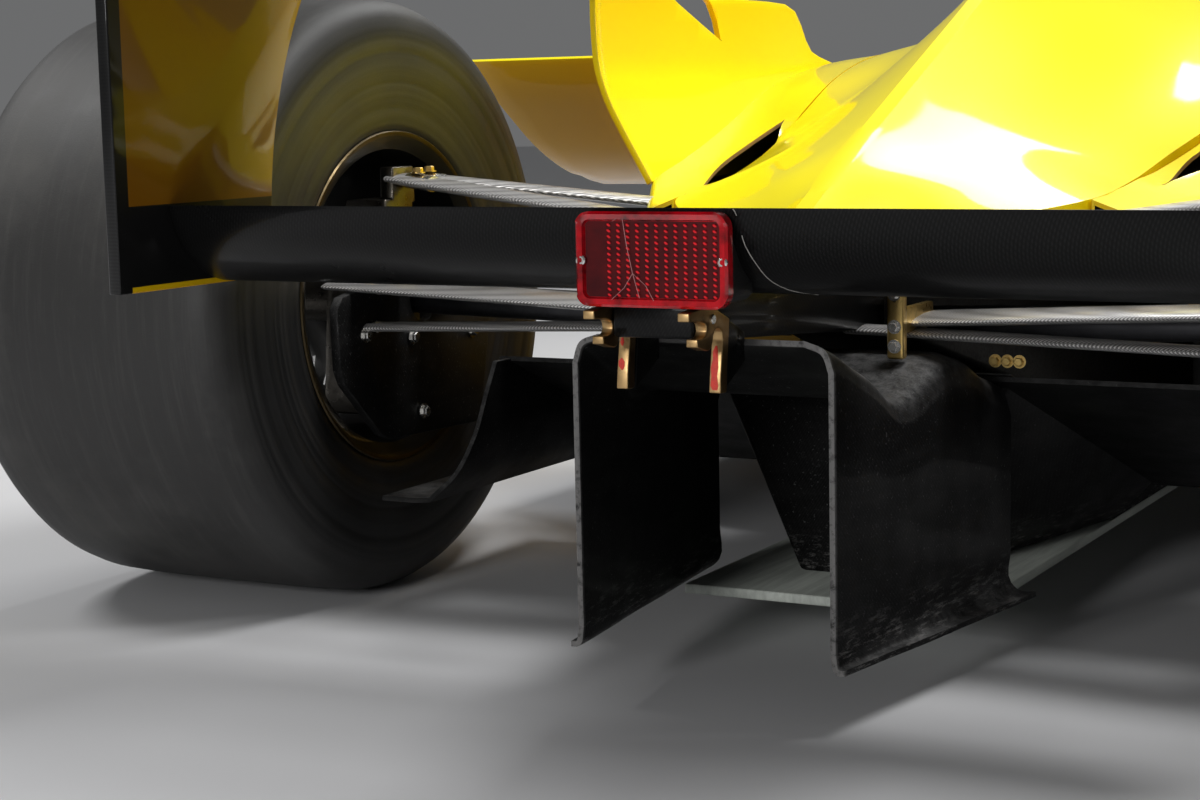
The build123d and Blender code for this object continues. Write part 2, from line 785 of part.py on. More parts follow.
# Columns: inner y and z, outer y and z, chord and depth, with y behind the rear axle
rear_arm_table = [
    (60, 360, 95, 356, 92, 17),
    (-260, 368, 30, 362, 45, 14),
    (-20, 390, -10, 460, 50, 16),
    (-360, 385, -24, 462, 36, 13),
    (104, 322, 104, 306, 30, 12),
]


def rear_arms(clearance=0.0):
    """The left rear arms, or the same arms made larger to cut their way through a skin."""
    both = None
    for y_in, z_in, y_out, z_out, chord, depth in rear_arm_table:
        arm = blade((40, rear_axle + y_in, z_in), (upright_x + 10, rear_axle + y_out, z_out),
                    chord + 2 * clearance, depth + 2 * clearance)
        both = arm if both is None else both + arm
    return both


def make_drive_shafts():
    shaft = rod((gearbox_half_width + 2, rear_axle, 318),
                (upright_x - 3, rear_axle, rear_tyre_radius), drive_shaft_radius)
    return on_both_sides(shaft)


def make_rear_uprights():
    axle = Pos(0, rear_axle, rear_tyre_radius) * stub(rear_wheel_x, rear_tyre_width, upright_x + 60)
    outwards = (Align.MIN, Align.CENTER, Align.CENTER)
    post = Pos(upright_x, rear_axle, rear_tyre_radius - 10) * Box(*rear_post, align=outwards)
    bracket = Pos(upright_x, rear_axle - 17, 453) * Box(*rear_bracket, align=outwards)
    return on_both_sides(axle + post + bracket)


def make_brake_ducts():
    outline = moved([
        (164, 341), (60, 360), (-141, 302), (-112, 177), (82, 182), (161, 257),
    ], rear_axle)
    return on_both_sides(plate(lengthwise(duct_x), outline, duct_thickness, 10))


# Cockpit furniture
headrest_low = 600.0
headrest_height = 120.0
seat_half_width = 150.0
screen_low = 628.0
screen_height = 45.0
mirror_x = 430.0
mirror_z = 640.0
mirror_size = (130, 60, 55)


def make_headrest():
    front = cockpit_rear - 300
    outer = mirrored([(255, front), (282, cover_front - seat_gap)])
    inner = mirrored([(185, front - 1), (175, cockpit_rear - 60)])
    wall = plate(Plane.XY.offset(headrest_low), outer, headrest_height)
    return wall - plate(Plane.XY, inner, beyond)


def make_seat():
    return plate(lengthwise(-seat_half_width), [
        (cockpit_front + 250, 123), (cockpit_rear - 100, 123), (cockpit_rear + 40, 560),
        (cockpit_rear - 20, 560), (cockpit_rear - 190, 200), (cockpit_front + 250, 215),
    ], 2 * seat_half_width)


def make_windscreen():
    return plate(Plane.XY.offset(screen_low), mirrored([
        (60, cockpit_front - 90), (150, cockpit_front + 20),
    ]), screen_height)


def make_mirrors():
    housing = Pos(mirror_x, cockpit_front + 120, mirror_z) * Box(*mirror_size)
    stalk = blade((190, cockpit_front + 50, 575), (mirror_x, cockpit_front + 110, mirror_z), 26, 8)
    return on_both_sides(housing + stalk)


def make_barge_boards():
    low = step_height + seat_gap
    board = plate(lengthwise(420), moved([
        (-630, 150), (-210, low), (-60, low), (-90, 420), (-450, 430),
    ], pods_front), 7)
    return on_both_sides(board)


def make_radiators():
    low = step_height + skin + 2 * seat_gap
    core = plate(lengthwise(355), moved([
        (350, low), (410, low), (610, 430), (550, 430),
    ], pods_front), 288)
    return on_both_sides(core)


tub = make_tub()
tub_outside = hull_form(tub_table)
gearbox = make_gearbox()
rear_uprights = make_rear_uprights()
crash_structure = make_crash_structure()
rear_wishbones = on_both_sides(rear_arms()) - gearbox - crash_structure - rear_uprights
arm_ways = on_both_sides(rear_arms(4))
drive_shafts = make_drive_shafts()
cover = make_engine_cover() - arm_ways
pods = make_side_pods() - arm_ways

pieces = {
    "monocoque": tub,
    "nose": make_nose(),
    "front_wing": make_front_wing(),
    "front_wing_flaps": make_front_flaps(),
    "front_end_plates": make_front_plates(),
    "engine_cover": cover,
    "side_pods": pods,
    "flip_ups": make_flip_ups(),
    "floor": make_floor(),
    "plank": make_plank(),
    "diffuser": make_diffuser(),
    "engine": make_engine(),
    "gearbox": gearbox,
    "crash_structure": crash_structure,
    "lamp_housing": make_lamp_housing(),
    "lamp_lens": make_lamp_lens(),
    "jacking_hooks": make_hooks(),
    "hook_fins": make_hook_fins(),
    "wing_beam": make_wing_beam(),
    "rear_wing": make_rear_wing(),
    "rear_wing_flap": make_rear_flap(),
    "rear_end_plates": make_end_plates(),
    "front_wishbones": make_front_wishbones() - tub_outside,
    "rear_wishbones": rear_wishbones,
    "drive_shafts": drive_shafts - gearbox,
    "rear_uprights": rear_uprights,
    "brake_ducts": make_brake_ducts() - on_both_sides(rear_arms(seat_gap)) - on_both_sides(
        rod((200, rear_axle, rear_tyre_radius), (600, rear_axle, rear_tyre_radius), 26)),
    "headrest": make_headrest() - tub_outside,
    "seat": make_seat() - tub,
    "windscreen": make_windscreen() - tub_outside,
    "mirrors": make_mirrors() - tub_outside,
    "barge_boards": make_barge_boards(),
    "radiators": make_radiators(),
    "track_rods": make_track_rods(),
    "steering_wheel": make_steering_wheel(),
}

upright = make_front_upright()
pieces["front_upright_left"] = upright
pieces["front_upright_right"] = mirror(upright, about=Plane.YZ)

# Columns: end of the car, tyre radius, tyre width, wheel centre x, axle y
wheel_table = [
    ("front", front_tyre_radius, front_tyre_width, front_wheel_x, front_axle),
    ("rear", rear_tyre_radius, rear_tyre_width, rear_wheel_x, rear_axle),
]
for end, radius, width, x, y in wheel_table:
    for side, sign in (("left", 1), ("right", -1)):
        place = Pos(sign * x, y, radius)
        pieces[f"tyre_{end}_{side}"] = place * tyre(radius, width)
        pieces[f"rim_{end}_{side}"] = place * rim(width, sign)

os.makedirs("parts", exist_ok=True)
for name, shape in pieces.items():
    export_step(shape, f"parts/{name}.step")
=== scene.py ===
import bpy
import json
import math
from mathutils import Matrix, Vector

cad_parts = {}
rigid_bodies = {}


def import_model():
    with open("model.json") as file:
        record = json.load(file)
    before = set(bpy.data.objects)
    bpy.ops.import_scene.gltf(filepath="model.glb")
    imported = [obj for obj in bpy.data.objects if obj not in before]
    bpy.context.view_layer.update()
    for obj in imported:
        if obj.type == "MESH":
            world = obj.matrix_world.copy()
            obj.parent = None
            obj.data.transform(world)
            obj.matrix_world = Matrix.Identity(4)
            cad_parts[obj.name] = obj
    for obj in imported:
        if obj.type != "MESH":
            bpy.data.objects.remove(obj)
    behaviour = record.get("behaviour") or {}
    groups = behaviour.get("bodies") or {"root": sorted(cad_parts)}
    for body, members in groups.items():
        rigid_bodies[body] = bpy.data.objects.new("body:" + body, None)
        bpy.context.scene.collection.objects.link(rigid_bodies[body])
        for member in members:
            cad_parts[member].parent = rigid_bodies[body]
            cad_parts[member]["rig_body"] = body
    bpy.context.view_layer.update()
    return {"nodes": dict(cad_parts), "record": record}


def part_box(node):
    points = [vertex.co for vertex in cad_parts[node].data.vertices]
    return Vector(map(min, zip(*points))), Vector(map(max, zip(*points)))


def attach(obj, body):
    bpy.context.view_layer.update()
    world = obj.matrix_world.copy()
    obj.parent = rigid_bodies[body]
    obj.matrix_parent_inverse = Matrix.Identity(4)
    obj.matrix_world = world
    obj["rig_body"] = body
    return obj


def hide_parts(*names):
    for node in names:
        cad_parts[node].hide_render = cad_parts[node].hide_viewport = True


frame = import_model()

# The car's own places, from the frame: +X is its left, +Y its rear, +Z up
mm = 0.001


def middleOf(node):
    low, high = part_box(node)
    return (low + high) / 2


rearWheel = middleOf("tyre_rear_left")
frontWheel = middleOf("tyre_front_left")
rearAxleY = rearWheel.y
frontAxleY = frontWheel.y


def rearPoint(x, behind, z):    # millimetres, with the second behind the rear axle
    return Vector((x * mm, rearAxleY + behind * mm, z * mm))


def frontPoint(x, behind, z):
    return Vector((x * mm, frontAxleY + behind * mm, z * mm))


# Camera: low behind the car's right side, looking forwards and to the left
cameraView = {
    "right": 0.8421,       # metres to the right of the car's middle
    "behind": 2.0573,      # behind the rear axle
    "height": 0.5404,
    "heading": 28.751,     # degrees to the left of straight ahead
    "down": 7.641,
    "roll": -1.220,
    "lens": 66.94,
    "sensor": 36.0,
    "farthest": 60,
}


def placeCamera(view):
    data = bpy.data.cameras.new("camera")
    data.lens = view["lens"]
    data.sensor_width = view["sensor"]
    data.clip_end = view["farthest"]
    camera = bpy.data.objects.new("camera", data)
    bpy.context.collection.objects.link(camera)
    heading = math.radians(view["heading"])
    down = math.radians(view["down"])
    roll = math.radians(view["roll"])
    ahead = Vector((math.sin(heading), -math.cos(heading), 0))
    across = ahead.cross(Vector((0, 0, 1)))
    look = ahead * math.cos(down) - Vector((0, 0, 1)) * math.sin(down)
    above = across.cross(look)
    right = across * math.cos(roll) + above * math.sin(roll)
    up = above * math.cos(roll) - across * math.sin(roll)
    turn = Matrix((right, up, -look)).transposed().to_4x4()
    place = Vector((-view["right"], rearAxleY + view["behind"], view["height"]))
    camera.matrix_world = Matrix.Translation(place) @ turn
    bpy.context.scene.camera = camera


placeCamera(cameraView)

# Studio: a pale floor, and soft lamps all round
studio = {
    "floorSize": 40.0,
    "floorColour": (0.60, 0.60, 0.61, 1),
    "floorRoughness": 0.7,
    "worldColour": (0.86, 0.87, 0.88, 1),
    "worldStrength": 0.17,
    "aim": Vector((0, rearAxleY / 2, 0.3)),     # what all the lamps are turned to
}
# Columns: name, place from the car's middle, size, watts
lamps = [
    ("overhead", (-0.9, 1.6, 3.3), 1.0, 68),
    ("highRight", (-3.0, 1.2, 3.0), 0.9, 48),
    ("highLeft", (2.8, 2.2, 2.8), 1.0, 50),
    ("lowRear", (0.5, 5.8, 1.2), 0.9, 50),
    ("frontLamp", (0.5, -2.0, 4.0), 1.6, 90),
]


def deselectAll():
    for item in bpy.context.selected_objects:
        item.select_set(False)


def selectOnly(item):
    deselectAll()
    item.select_set(True)
    bpy.context.view_layer.objects.active = item


def buildStudio(settings):
    deselectAll()
    bpy.ops.mesh.primitive_plane_add(size=settings["floorSize"], location=(0, 0, 0))
    floor = bpy.context.active_object
    floor.name = "studioFloor"
    material = bpy.data.materials.new("studioFloor")
    material.use_nodes = True
    shader = material.node_tree.nodes["Principled BSDF"]
    shader.inputs["Base Color"].default_value = settings["floorColour"]
    shader.inputs["Roughness"].default_value = settings["floorRoughness"]
    floor.data.materials.append(material)
    world = bpy.data.worlds.new("studioWorld")
    world.use_nodes = True
    background = world.node_tree.nodes["Background"]
    background.inputs["Color"].default_value = settings["worldColour"]
    background.inputs["Strength"].default_value = settings["worldStrength"]
    bpy.context.scene.world = world
    for name, place, size, watts in lamps:
        data = bpy.data.lights.new(name, "AREA")
        data.shape = "SQUARE"
        data.size = size
        data.energy = watts
        lamp = bpy.data.objects.new(name, data)
        bpy.context.collection.objects.link(lamp)
        lamp.location = place
        lamp.rotation_euler = (settings["aim"] - Vector(place)).to_track_quat("-Z", "Y").to_euler()
    bpy.context.scene.view_settings.view_transform = "Standard"


buildStudio(studio)
print("studio and camera ready")


# Materials: each is a node tree on Object coordinates
def treeOf(material):
    return material.node_tree, material.node_tree.nodes["Principled BSDF"]


def startMaterial(name, **sockets):
    material = bpy.data.materials.new(name)
    material.use_nodes = True
    tree, shader = treeOf(material)
    for socket, value in sockets.items():
        shader.inputs[socket.replace("_", " ")].default_value = value
    return material, tree, shader


def setColour(tree, shader, colour):
    tree.links.new(colour, shader.inputs["Base Color"])


def objectCoordinates(tree, scale=(1, 1, 1), turn=(0, 0, 0)):
    coordinates = tree.nodes.new("ShaderNodeTexCoord")
    mapping = tree.nodes.new("ShaderNodeMapping")
    mapping.inputs["Scale"].default_value = scale
    mapping.inputs["Rotation"].default_value = [math.radians(angle) for angle in turn]
    tree.links.new(coordinates.outputs["Object"], mapping.inputs["Vector"])
    return mapping.outputs["Vector"]


def axesOf(tree, kind="ShaderNodeTexCoord", output="Object"):
    separate = tree.nodes.new("ShaderNodeSeparateXYZ")
    source = tree.nodes.new(kind)
    tree.links.new(source.outputs[output], separate.inputs[0])
    return separate.outputs


def facingUp(tree):    # 1 on a face that looks up, -1 on one that looks down
    return axesOf(tree, "ShaderNodeNewGeometry", "Normal")[2]


def attribute(tree, name):
    node = tree.nodes.new("ShaderNodeAttribute")
    node.attribute_name = name
    return node.outputs["Fac"]


def noise(tree, vector, scale, detail=4.0, roughness=0.55):
    node = tree.nodes.new("ShaderNodeTexNoise")
    node.inputs["Scale"].default_value = scale
    node.inputs["Detail"].default_value = detail
    node.inputs["Roughness"].default_value = roughness
    tree.links.new(vector, node.inputs["Vector"])
    return node.outputs["Fac"]


def bands(tree, vector, scale, direction="X"):
    node = tree.nodes.new("ShaderNodeTexWave")
    node.bands_direction = direction
    node.inputs["Scale"].default_value = scale
    tree.links.new(vector, node.inputs["Vector"])
    return node.outputs["Fac"]


def remap(tree, value, fromLow, fromHigh, toLow=0.0, toHigh=1.0):
    node = tree.nodes.new("ShaderNodeMapRange")
    for socket, number in (("From Min", fromLow), ("From Max", fromHigh),
                           ("To Min", toLow), ("To Max", toHigh)):
        node.inputs[socket].default_value = number
    tree.links.new(value, node.inputs["Value"])
    return node.outputs["Result"]


def combine(tree, operation, first, second):
    node = tree.nodes.new("ShaderNodeMath")
    node.operation = operation
    for socket, value in zip(node.inputs, (first, second)):
        if isinstance(value, (int, float)):
            socket.default_value = value
        else:
            tree.links.new(value, socket)
    return node.outputs[0]


def mixColour(tree, factor, low, high, mode="MIX"):
    node = tree.nodes.new("ShaderNodeMix")
    node.data_type = "RGBA"
    node.blend_type = mode
    for socket, value in ((node.inputs[6], low), (node.inputs[7], high)):
        if isinstance(value, (tuple, list)):
            socket.default_value = value
        else:
            tree.links.new(value, socket)
    if isinstance(factor, (int, float)):
        node.inputs[0].default_value = factor
    else:
        tree.links.new(factor, node.inputs[0])
    return node.outputs[2]


def grey(level, warmth=0.0):
    return (level * (1 + warmth), level, level * (1 - warmth), 1)


def addBump(tree, shader, height, strength, distance):
    bump = tree.nodes.new("ShaderNodeBump")
    bump.inputs["Strength"].default_value = strength
    bump.inputs["Distance"].default_value = distance
    tree.links.new(height, bump.inputs["Height"])
    tree.links.new(bump.outputs["Normal"], shader.inputs["Normal"])


yellowPaint = {
    "colour": (0.94, 0.80, 0.001, 1),
    "shade": (0.92, 0.75, 0.001, 1),
    "under": (0.78, 0.42, 0.002, 1),      # painted shade: warmer and darker where the skin turns down
    "dust": (0.80, 0.66, 0.10, 1),
    "roughness": 0.42,
}


def makeYellowPaint(settings, name="yellowPaint"):
    material, tree, shader = startMaterial(name, Roughness=settings["roughness"], Coat_Weight=0.7,
                                           Coat_Roughness=0.06, Coat_IOR=1.36,
                                           Specular_IOR_Level=0.15)
    vector = objectCoordinates(tree)
    cloud = remap(tree, noise(tree, vector, 3.0), 0.4, 0.7)
    paint = mixColour(tree, cloud, settings["colour"], settings["shade"])
    # Painted shade: faces that look down take the warmer, darker colour
    paint = mixColour(tree, remap(tree, facingUp(tree), -0.35, 0.3), settings["under"], paint)
    speck = remap(tree, noise(tree, vector, 900.0, 2.0), 0.70, 0.78, 0.0, 0.6)
    setColour(tree, shader, mixColour(tree, speck, paint, settings["dust"]))
    addBump(tree, shader, noise(tree, vector, 260.0, 2.0), 0.03, 0.0004)
    return material


# End plates: yellow, with painted shade darkening their inner faces, and black twill below the wing beam
platePaint = {
    "blackBelow": 0.455,     # metres above the ground
    "hemTop": 0.3825,        # a yellow line along the bottom edge
    "stripWidth": 0.017,     # black strip along the rear edge
    "innerFace": (0.4935, 0.4945),    # metres from the car's middle, where the painted shade ends
    # painted shade: the colour multiplied into the inner faces
    "insideShade": (0.24, 0.15, 0.5, 1),
}


def makePlatePaint(settings):
    material = makeYellowPaint(yellowPaint, "endPlatePaint")
    tree, shader = treeOf(material)
    colour = shader.inputs["Base Color"].links[0].from_socket
    x, y, z = axesOf(tree)
    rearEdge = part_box("rear_end_plates")[1].y
    outside = remap(tree, combine(tree, "ABSOLUTE", x, 0), *settings["innerFace"])
    outside = combine(tree, "MAXIMUM", outside, combine(tree, "LESS_THAN", z, settings["hemTop"]))
    # Painted shade: the inner faces are multiplied darker, all but the yellow hem
    tinted = mixColour(tree, 1.0, colour, settings["insideShade"], "MULTIPLY")
    colour = mixColour(tree, outside, tinted, colour)
    low = combine(tree, "LESS_THAN", z, settings["blackBelow"])
    notHem = combine(tree, "GREATER_THAN", z, settings["hemTop"])
    strip = combine(tree, "GREATER_THAN", y, rearEdge - settings["stripWidth"])
    black = combine(tree, "MAXIMUM", combine(tree, "MULTIPLY", low, notHem), strip)
    weave = bands(tree, objectCoordinates(tree, turn=(45, 0, 0)), 140.0, "Y")
    twill = mixColour(tree, weave, grey(0.003), grey(0.008))
    setColour(tree, shader, mixColour(tree, black, colour, twill))
    return material


# A wave texture's scale times the metres from one band to the next
bandStep = 0.314
carbonTwill = {
    "thread": 0.0022,       # metres from one rib of the twill to the next
    "dark": 0.002,
    "light": 0.009,
    "worn": 0.020,
}


def makeCarbon(name, settings, roughness, coat, worn=0.0):
    material, tree, shader = startMaterial(name, Coat_Weight=coat, Coat_Roughness=0.06,
                                           Coat_IOR=1.34, Specular_IOR_Level=0.1)
    ribs = bandStep / settings["thread"]
    over = bands(tree, objectCoordinates(tree, turn=(42, 0, 45)), ribs, "X")
    under = bands(tree, objectCoordinates(tree, turn=(-38, 12, -45)), ribs * 0.5, "Y")
    weave = combine(tree, "MULTIPLY", over, remap(tree, under, 0, 1, 0.35, 1))
    colour = mixColour(tree, weave, grey(settings["dark"]), grey(settings["light"]))
    vector = objectCoordinates(tree)
    if worn > 0:
        scuff = noise(tree, objectCoordinates(tree, scale=(1, 1, 5)), 9.0, 9.0, 0.72)
        colour = mixColour(tree, remap(tree, scuff, 0.45, 0.8, 0, worn), colour,
                           grey(settings["worn"], 0.02))
        dust = noise(tree, vector, 330.0, 3.0, 0.7)
        colour = mixColour(tree, remap(tree, dust, 0.63, 0.8, 0, worn), colour, grey(0.3))
    setColour(tree, shader, colour)
    cloud = remap(tree, noise(tree, vector, 14.0), 0.3, 0.75, roughness * 0.8, roughness * 1.25)
    tree.links.new(cloud, shader.inputs["Roughness"])
    addBump(tree, shader, weave, 0.12, 0.0002)
    return material


# The diffuser: matt and scraped, with bare pale edges
diffuserWear = {
    "edgeShade": 0.17,
    # how much paler what faces up is: dust, and painted highlight
    "dust": 0.45,
    "scrapeLow": 0.05,      # metres above the ground: stones have hit it most up to here
    "scrapeTop": 0.105,     # and not at all above this
}


def makeWornCarbon(settings):
    material = makeCarbon("wornCarbon", carbonTwill, roughness=0.5, coat=0.06, worn=0.5)
    tree, shader = treeOf(material)
    colour = shader.inputs["Base Color"].links[0].from_socket
    rough = noise(tree, objectCoordinates(tree), 120.0, 6.0, 0.7)
    bare = combine(tree, "MULTIPLY", attribute(tree, "edgeWear"), remap(tree, rough, 0.3, 0.5))
    colour = mixColour(tree, bare, colour, grey(settings["edgeShade"], 0.02))
    low = remap(tree, axesOf(tree)[2], settings["scrapeLow"], settings["scrapeTop"], 0.9, 0.0)
    scrape = noise(tree, objectCoordinates(tree, scale=(1, 0.5, 3)), 60.0, 8.0, 0.8)
    chips = combine(tree, "MULTIPLY", low, remap(tree, scrape, 0.52, 0.64))
    colour = mixColour(tree, chips, colour, grey(0.22, 0.03))
    # Paler on what faces up: dust, and a painted highlight on the lit shoulders of the channel
    speckle = noise(tree, objectCoordinates(tree), 70.0, 9.0, 0.8)
    dust = combine(tree, "MULTIPLY", remap(tree, facingUp(tree), 0.15, 0.8, 0, settings["dust"]),
                   remap(tree, speckle, 0.35, 0.6))
    setColour(tree, shader, mixColour(tree, dust, colour, grey(0.2, 0.01)))
    return material


slickRubber = {
    "tread": (0.024, 0.0235, 0.023, 1),
    "wall": (0.009, 0.009, 0.009, 1),
    # painted sheen: the lighter rings on the side wall
    "ring": (0.030, 0.029, 0.028, 1),
    "scuff": (0.105, 0.102, 0.096, 1),
    "ringSheenScale": 62.0,          # how finely the side wall's painted sheen and shade rings follow each other
}


def makeSlickRubber(settings):
    material, tree, shader = startMaterial("slickRubber", Specular_IOR_Level=0.45)
    tread = attribute(tree, "tread")    # 1 on the tread, 0 at the bead
    vector = objectCoordinates(tree)
    # Painted sheen and shade: lighter and darker rings round the side wall, by radius
    place = tree.nodes.new("ShaderNodeCombineXYZ")
    tree.links.new(attribute(tree, "radius"), place.inputs[0])    # metres from the axle
    ringSheen = noise(tree, place.outputs[0], settings["ringSheenScale"], 7.0, 0.7)
    wall = mixColour(tree, remap(tree, ringSheen, 0.46, 0.68), settings["wall"], settings["ring"])
    colour = mixColour(tree, tread, wall, settings["tread"])
    # Streaks run round the tyre: fine across the car, long the other way
    streak = noise(tree, objectCoordinates(tree, scale=(26, 1.5, 1.5)), 3.2, 8.0, 0.75)
    scuffed = combine(tree, "MULTIPLY", remap(tree, streak, 0.5, 0.8, 0, 0.28), tread)
    colour = mixColour(tree, scuffed, colour, settings["scuff"])
    patch = noise(tree, vector, 5.5, 6.0, 0.65)
    worn = combine(tree, "MULTIPLY", remap(tree, patch, 0.5, 0.75, 0, 0.4), tread)
    setColour(tree, shader, mixColour(tree, worn, colour, settings["scuff"]))
    rough = combine(tree, "ADD", remap(tree, patch, 0.35, 0.7, 0.36, 0.5),
                    combine(tree, "MULTIPLY", tread, 0.16))
    tree.links.new(rough, shader.inputs["Roughness"])
    addBump(tree, shader, noise(tree, vector, 520.0, 5.0, 0.7), 0.35, 0.0006)
    return material


def darker(colour, share):
    return tuple(channel * share for channel in colour[:3]) + (1,)


def makeMetal(name, colour, roughness, grain=140.0, stain=0.25, bump=0.08):
    material, tree, shader = startMaterial(name, Metallic=1.0)
    vector = objectCoordinates(tree)
    marks = noise(tree, vector, grain, 6.0, 0.65)
    cloud = noise(tree, vector, 22.0, 5.0)
    tinted = mixColour(tree, remap(tree, cloud, 0.35, 0.7), colour, darker(colour, 1 - stain))
    setColour(tree, shader, mixColour(tree, remap(tree, marks, 0.55, 0.75), tinted,
                                      darker(colour, 1 - 1.6 * stain)))
    tree.links.new(remap(tree, marks, 0.3, 0.7, roughness * 0.8, roughness * 1.3),
                   shader.inputs["Roughness"])
    addBump(tree, shader, marks, bump, 0.0005)
    return material


# Suspension arms: silver glass weave over carbon
def makeSilverWeave():
    material, tree, shader = startMaterial("silverWeave", Metallic=0.35, Roughness=0.4,
                                           Coat_Weight=0.6, Coat_Roughness=0.08)
    over = bands(tree, objectCoordinates(tree, turn=(30, 0, 45)), 120.0, "X")
    under = bands(tree, objectCoordinates(tree, turn=(-30, 0, -45)), 120.0, "Y")
    weave = combine(tree, "MULTIPLY", over, under)
    colour = mixColour(tree, remap(tree, weave, 0.05, 0.6), grey(0.16, 0.03), grey(0.74, 0.02))
    cloud = remap(tree, noise(tree, objectCoordinates(tree), 16.0), 0.5, 0.75, 0, 0.4)
    setColour(tree, shader, mixColour(tree, cloud, colour, grey(0.25)))
    addBump(tree, shader, weave, 0.2, 0.0003)
    return material


# Lamp: clear red plastic with a darker panel of prisms behind it, the prisms' tips painted bright red as
# glints
lampColours = {
    "rim": (0.60, 0.002, 0.010, 1),
    "panel": (0.09, 0.0005, 0.002, 1),
    "panelShade": (0.05, 0.0, 0.002, 1),
    # painted glint: the bright red of the prisms' tips
    "prism": (0.95, 0.03, 0.04, 1),
}


def makeLampRed(settings):
    material, tree, shader = startMaterial("lampRed", Roughness=0.1, Coat_Weight=1.0,
                                           Coat_Roughness=0.02)
    depth = noise(tree, objectCoordinates(tree), 45.0)
    setColour(tree, shader, mixColour(tree, remap(tree, depth, 0.4, 0.7), settings["rim"],
                                      settings["panel"]))
    shader.inputs["Subsurface Weight"].default_value = 0.3
    shader.inputs["Subsurface Radius"].default_value = (0.012, 0.001, 0.001)
    return material


def makeLampPanel(settings):
    material, tree, shader = startMaterial("lampPanel", Roughness=0.4, Specular_IOR_Level=0.15)
    cloud = noise(tree, objectCoordinates(tree), 60.0)
    back = mixColour(tree, remap(tree, cloud, 0.4, 0.7), settings["panel"], settings["panelShade"])
    tip = remap(tree, attribute(tree, "prism"), 0.1, 0.5)    # 1 on the tip of a prism, where a glint is painted
    setColour(tree, shader, mixColour(tree, tip, back, settings["prism"]))
    return material


def makeCloth(name, thread, dark, light, turn=0):
    material, tree, shader = startMaterial(name, Roughness=0.92, Sheen_Weight=0.25)
    over = bands(tree, objectCoordinates(tree, turn=(turn, turn, 0)), bandStep / thread, "X")
    under = bands(tree, objectCoordinates(tree, turn=(turn, 0, turn)), bandStep / thread, "Y")
    weave = combine(tree, "MULTIPLY", over, under)
    colour = mixColour(tree, weave, grey(dark), grey(light))
    fade = noise(tree, objectCoordinates(tree), 11.0)
    setColour(tree, shader, mixColour(tree, remap(tree, fade, 0.45, 0.75, 0, 0.4), colour,
                                      grey(light * 1.6)))
    addBump(tree, shader, weave, 0.5, 0.0008)
    return material


def plainMaterial(name, colour, roughness, grain=60.0, bump=0.1, **sockets):
    material, tree, shader = startMaterial(name, Roughness=roughness, **sockets)
    spots = noise(tree, objectCoordinates(tree), grain, 6.0, 0.6)
    setColour(tree, shader, mixColour(tree, remap(tree, spots, 0.35, 0.7), colour,
                                      darker(colour, 0.7)))
    addBump(tree, shader, spots, bump, 0.0005)
    return material


boardColours = {"pale": (0.62, 0.66, 0.60, 1), "grain": (0.42, 0.45, 0.41, 1)}


def makeSkidBoard(settings):
    material, tree, shader = startMaterial("skidBoard", Roughness=0.62)
    grain = noise(tree, objectCoordinates(tree, scale=(9, 0.6, 4)), 16.0, 7.0, 0.6)
    scratch = noise(tree, objectCoordinates(tree, scale=(60, 1, 6)), 6.0, 4.0)
    colour = mixColour(tree, remap(tree, grain, 0.35, 0.7), settings["pale"], settings["grain"])
    setColour(tree, shader, mixColour(tree, remap(tree, scratch, 0.62, 0.72, 0, 0.7), colour,
                                      grey(0.5)))
    addBump(tree, shader, scratch, 0.15, 0.0006)
    return material


def makeRadiatorCore():
    material = makeMetal("radiatorCore", grey(0.42), 0.5)
    tree, shader = treeOf(material)
    addBump(tree, shader, bands(tree, objectCoordinates(tree), 160.0), 0.8, 0.001)
    return material


def makeClearScreen():
    material, tree, shader = startMaterial("clearScreen", Roughness=0.04, Transmission_Weight=0.9,
                                           IOR=1.45)
    haze = remap(tree, noise(tree, objectCoordinates(tree), 30.0), 0.4, 0.7)
    setColour(tree, shader, mixColour(tree, haze, (0.75, 0.74, 0.66, 1), (0.6, 0.6, 0.55, 1)))
    return material


materials = {
    "yellow_paint": makeYellowPaint(yellowPaint),
    "carbon": makeCarbon("carbonTwill", carbonTwill, roughness=0.34, coat=0.22),
    "matt_carbon": makeWornCarbon(diffuserWear),
    "skid_board": makeSkidBoard(boardColours),
    "tyre_rubber": makeSlickRubber(slickRubber),
    "wheel_magnesium": plainMaterial("darkWheel", (0.02, 0.019, 0.018, 1), 0.42, 40.0, 0.08,
                                     Metallic=0.6, Coat_Weight=0.3),
    "upright_metal": makeMetal("machinedUpright", (0.22, 0.20, 0.17, 1), 0.3),
    "arm_carbon": makeSilverWeave(),
    "bronze": makeMetal("wornBronze", (0.44, 0.27, 0.11, 1), 0.34, 90.0, 0.45, 0.12),
    "casting": makeMetal("gearboxCasting", (0.05, 0.048, 0.045, 1), 0.5, 300.0, 0.3, 0.3),
    "engine_metal": makeMetal("engineMetal", (0.3, 0.3, 0.31, 1), 0.45, 300.0, 0.3, 0.3),
    "shaft_steel": makeMetal("shaftSteel", (0.07, 0.07, 0.075, 1), 0.4, 60.0),
    "lamp_red": makeLampRed(lampColours),
    "lamp_plastic": plainMaterial("lampPlastic", (0.012, 0.012, 0.012, 1), 0.45, 200.0),
    "seat_cloth": makeCloth("seatCloth", 0.0024, 0.012, 0.035),
    "headrest_cover": makeCloth("headrestCover", 0.0016, 0.02, 0.05, 20),
    "clear_screen": makeClearScreen(),
    "grip": plainMaterial("gripSuede", (0.02, 0.02, 0.021, 1), 0.95, 400.0, 0.4),
    "radiator_core": makeRadiatorCore(),
}
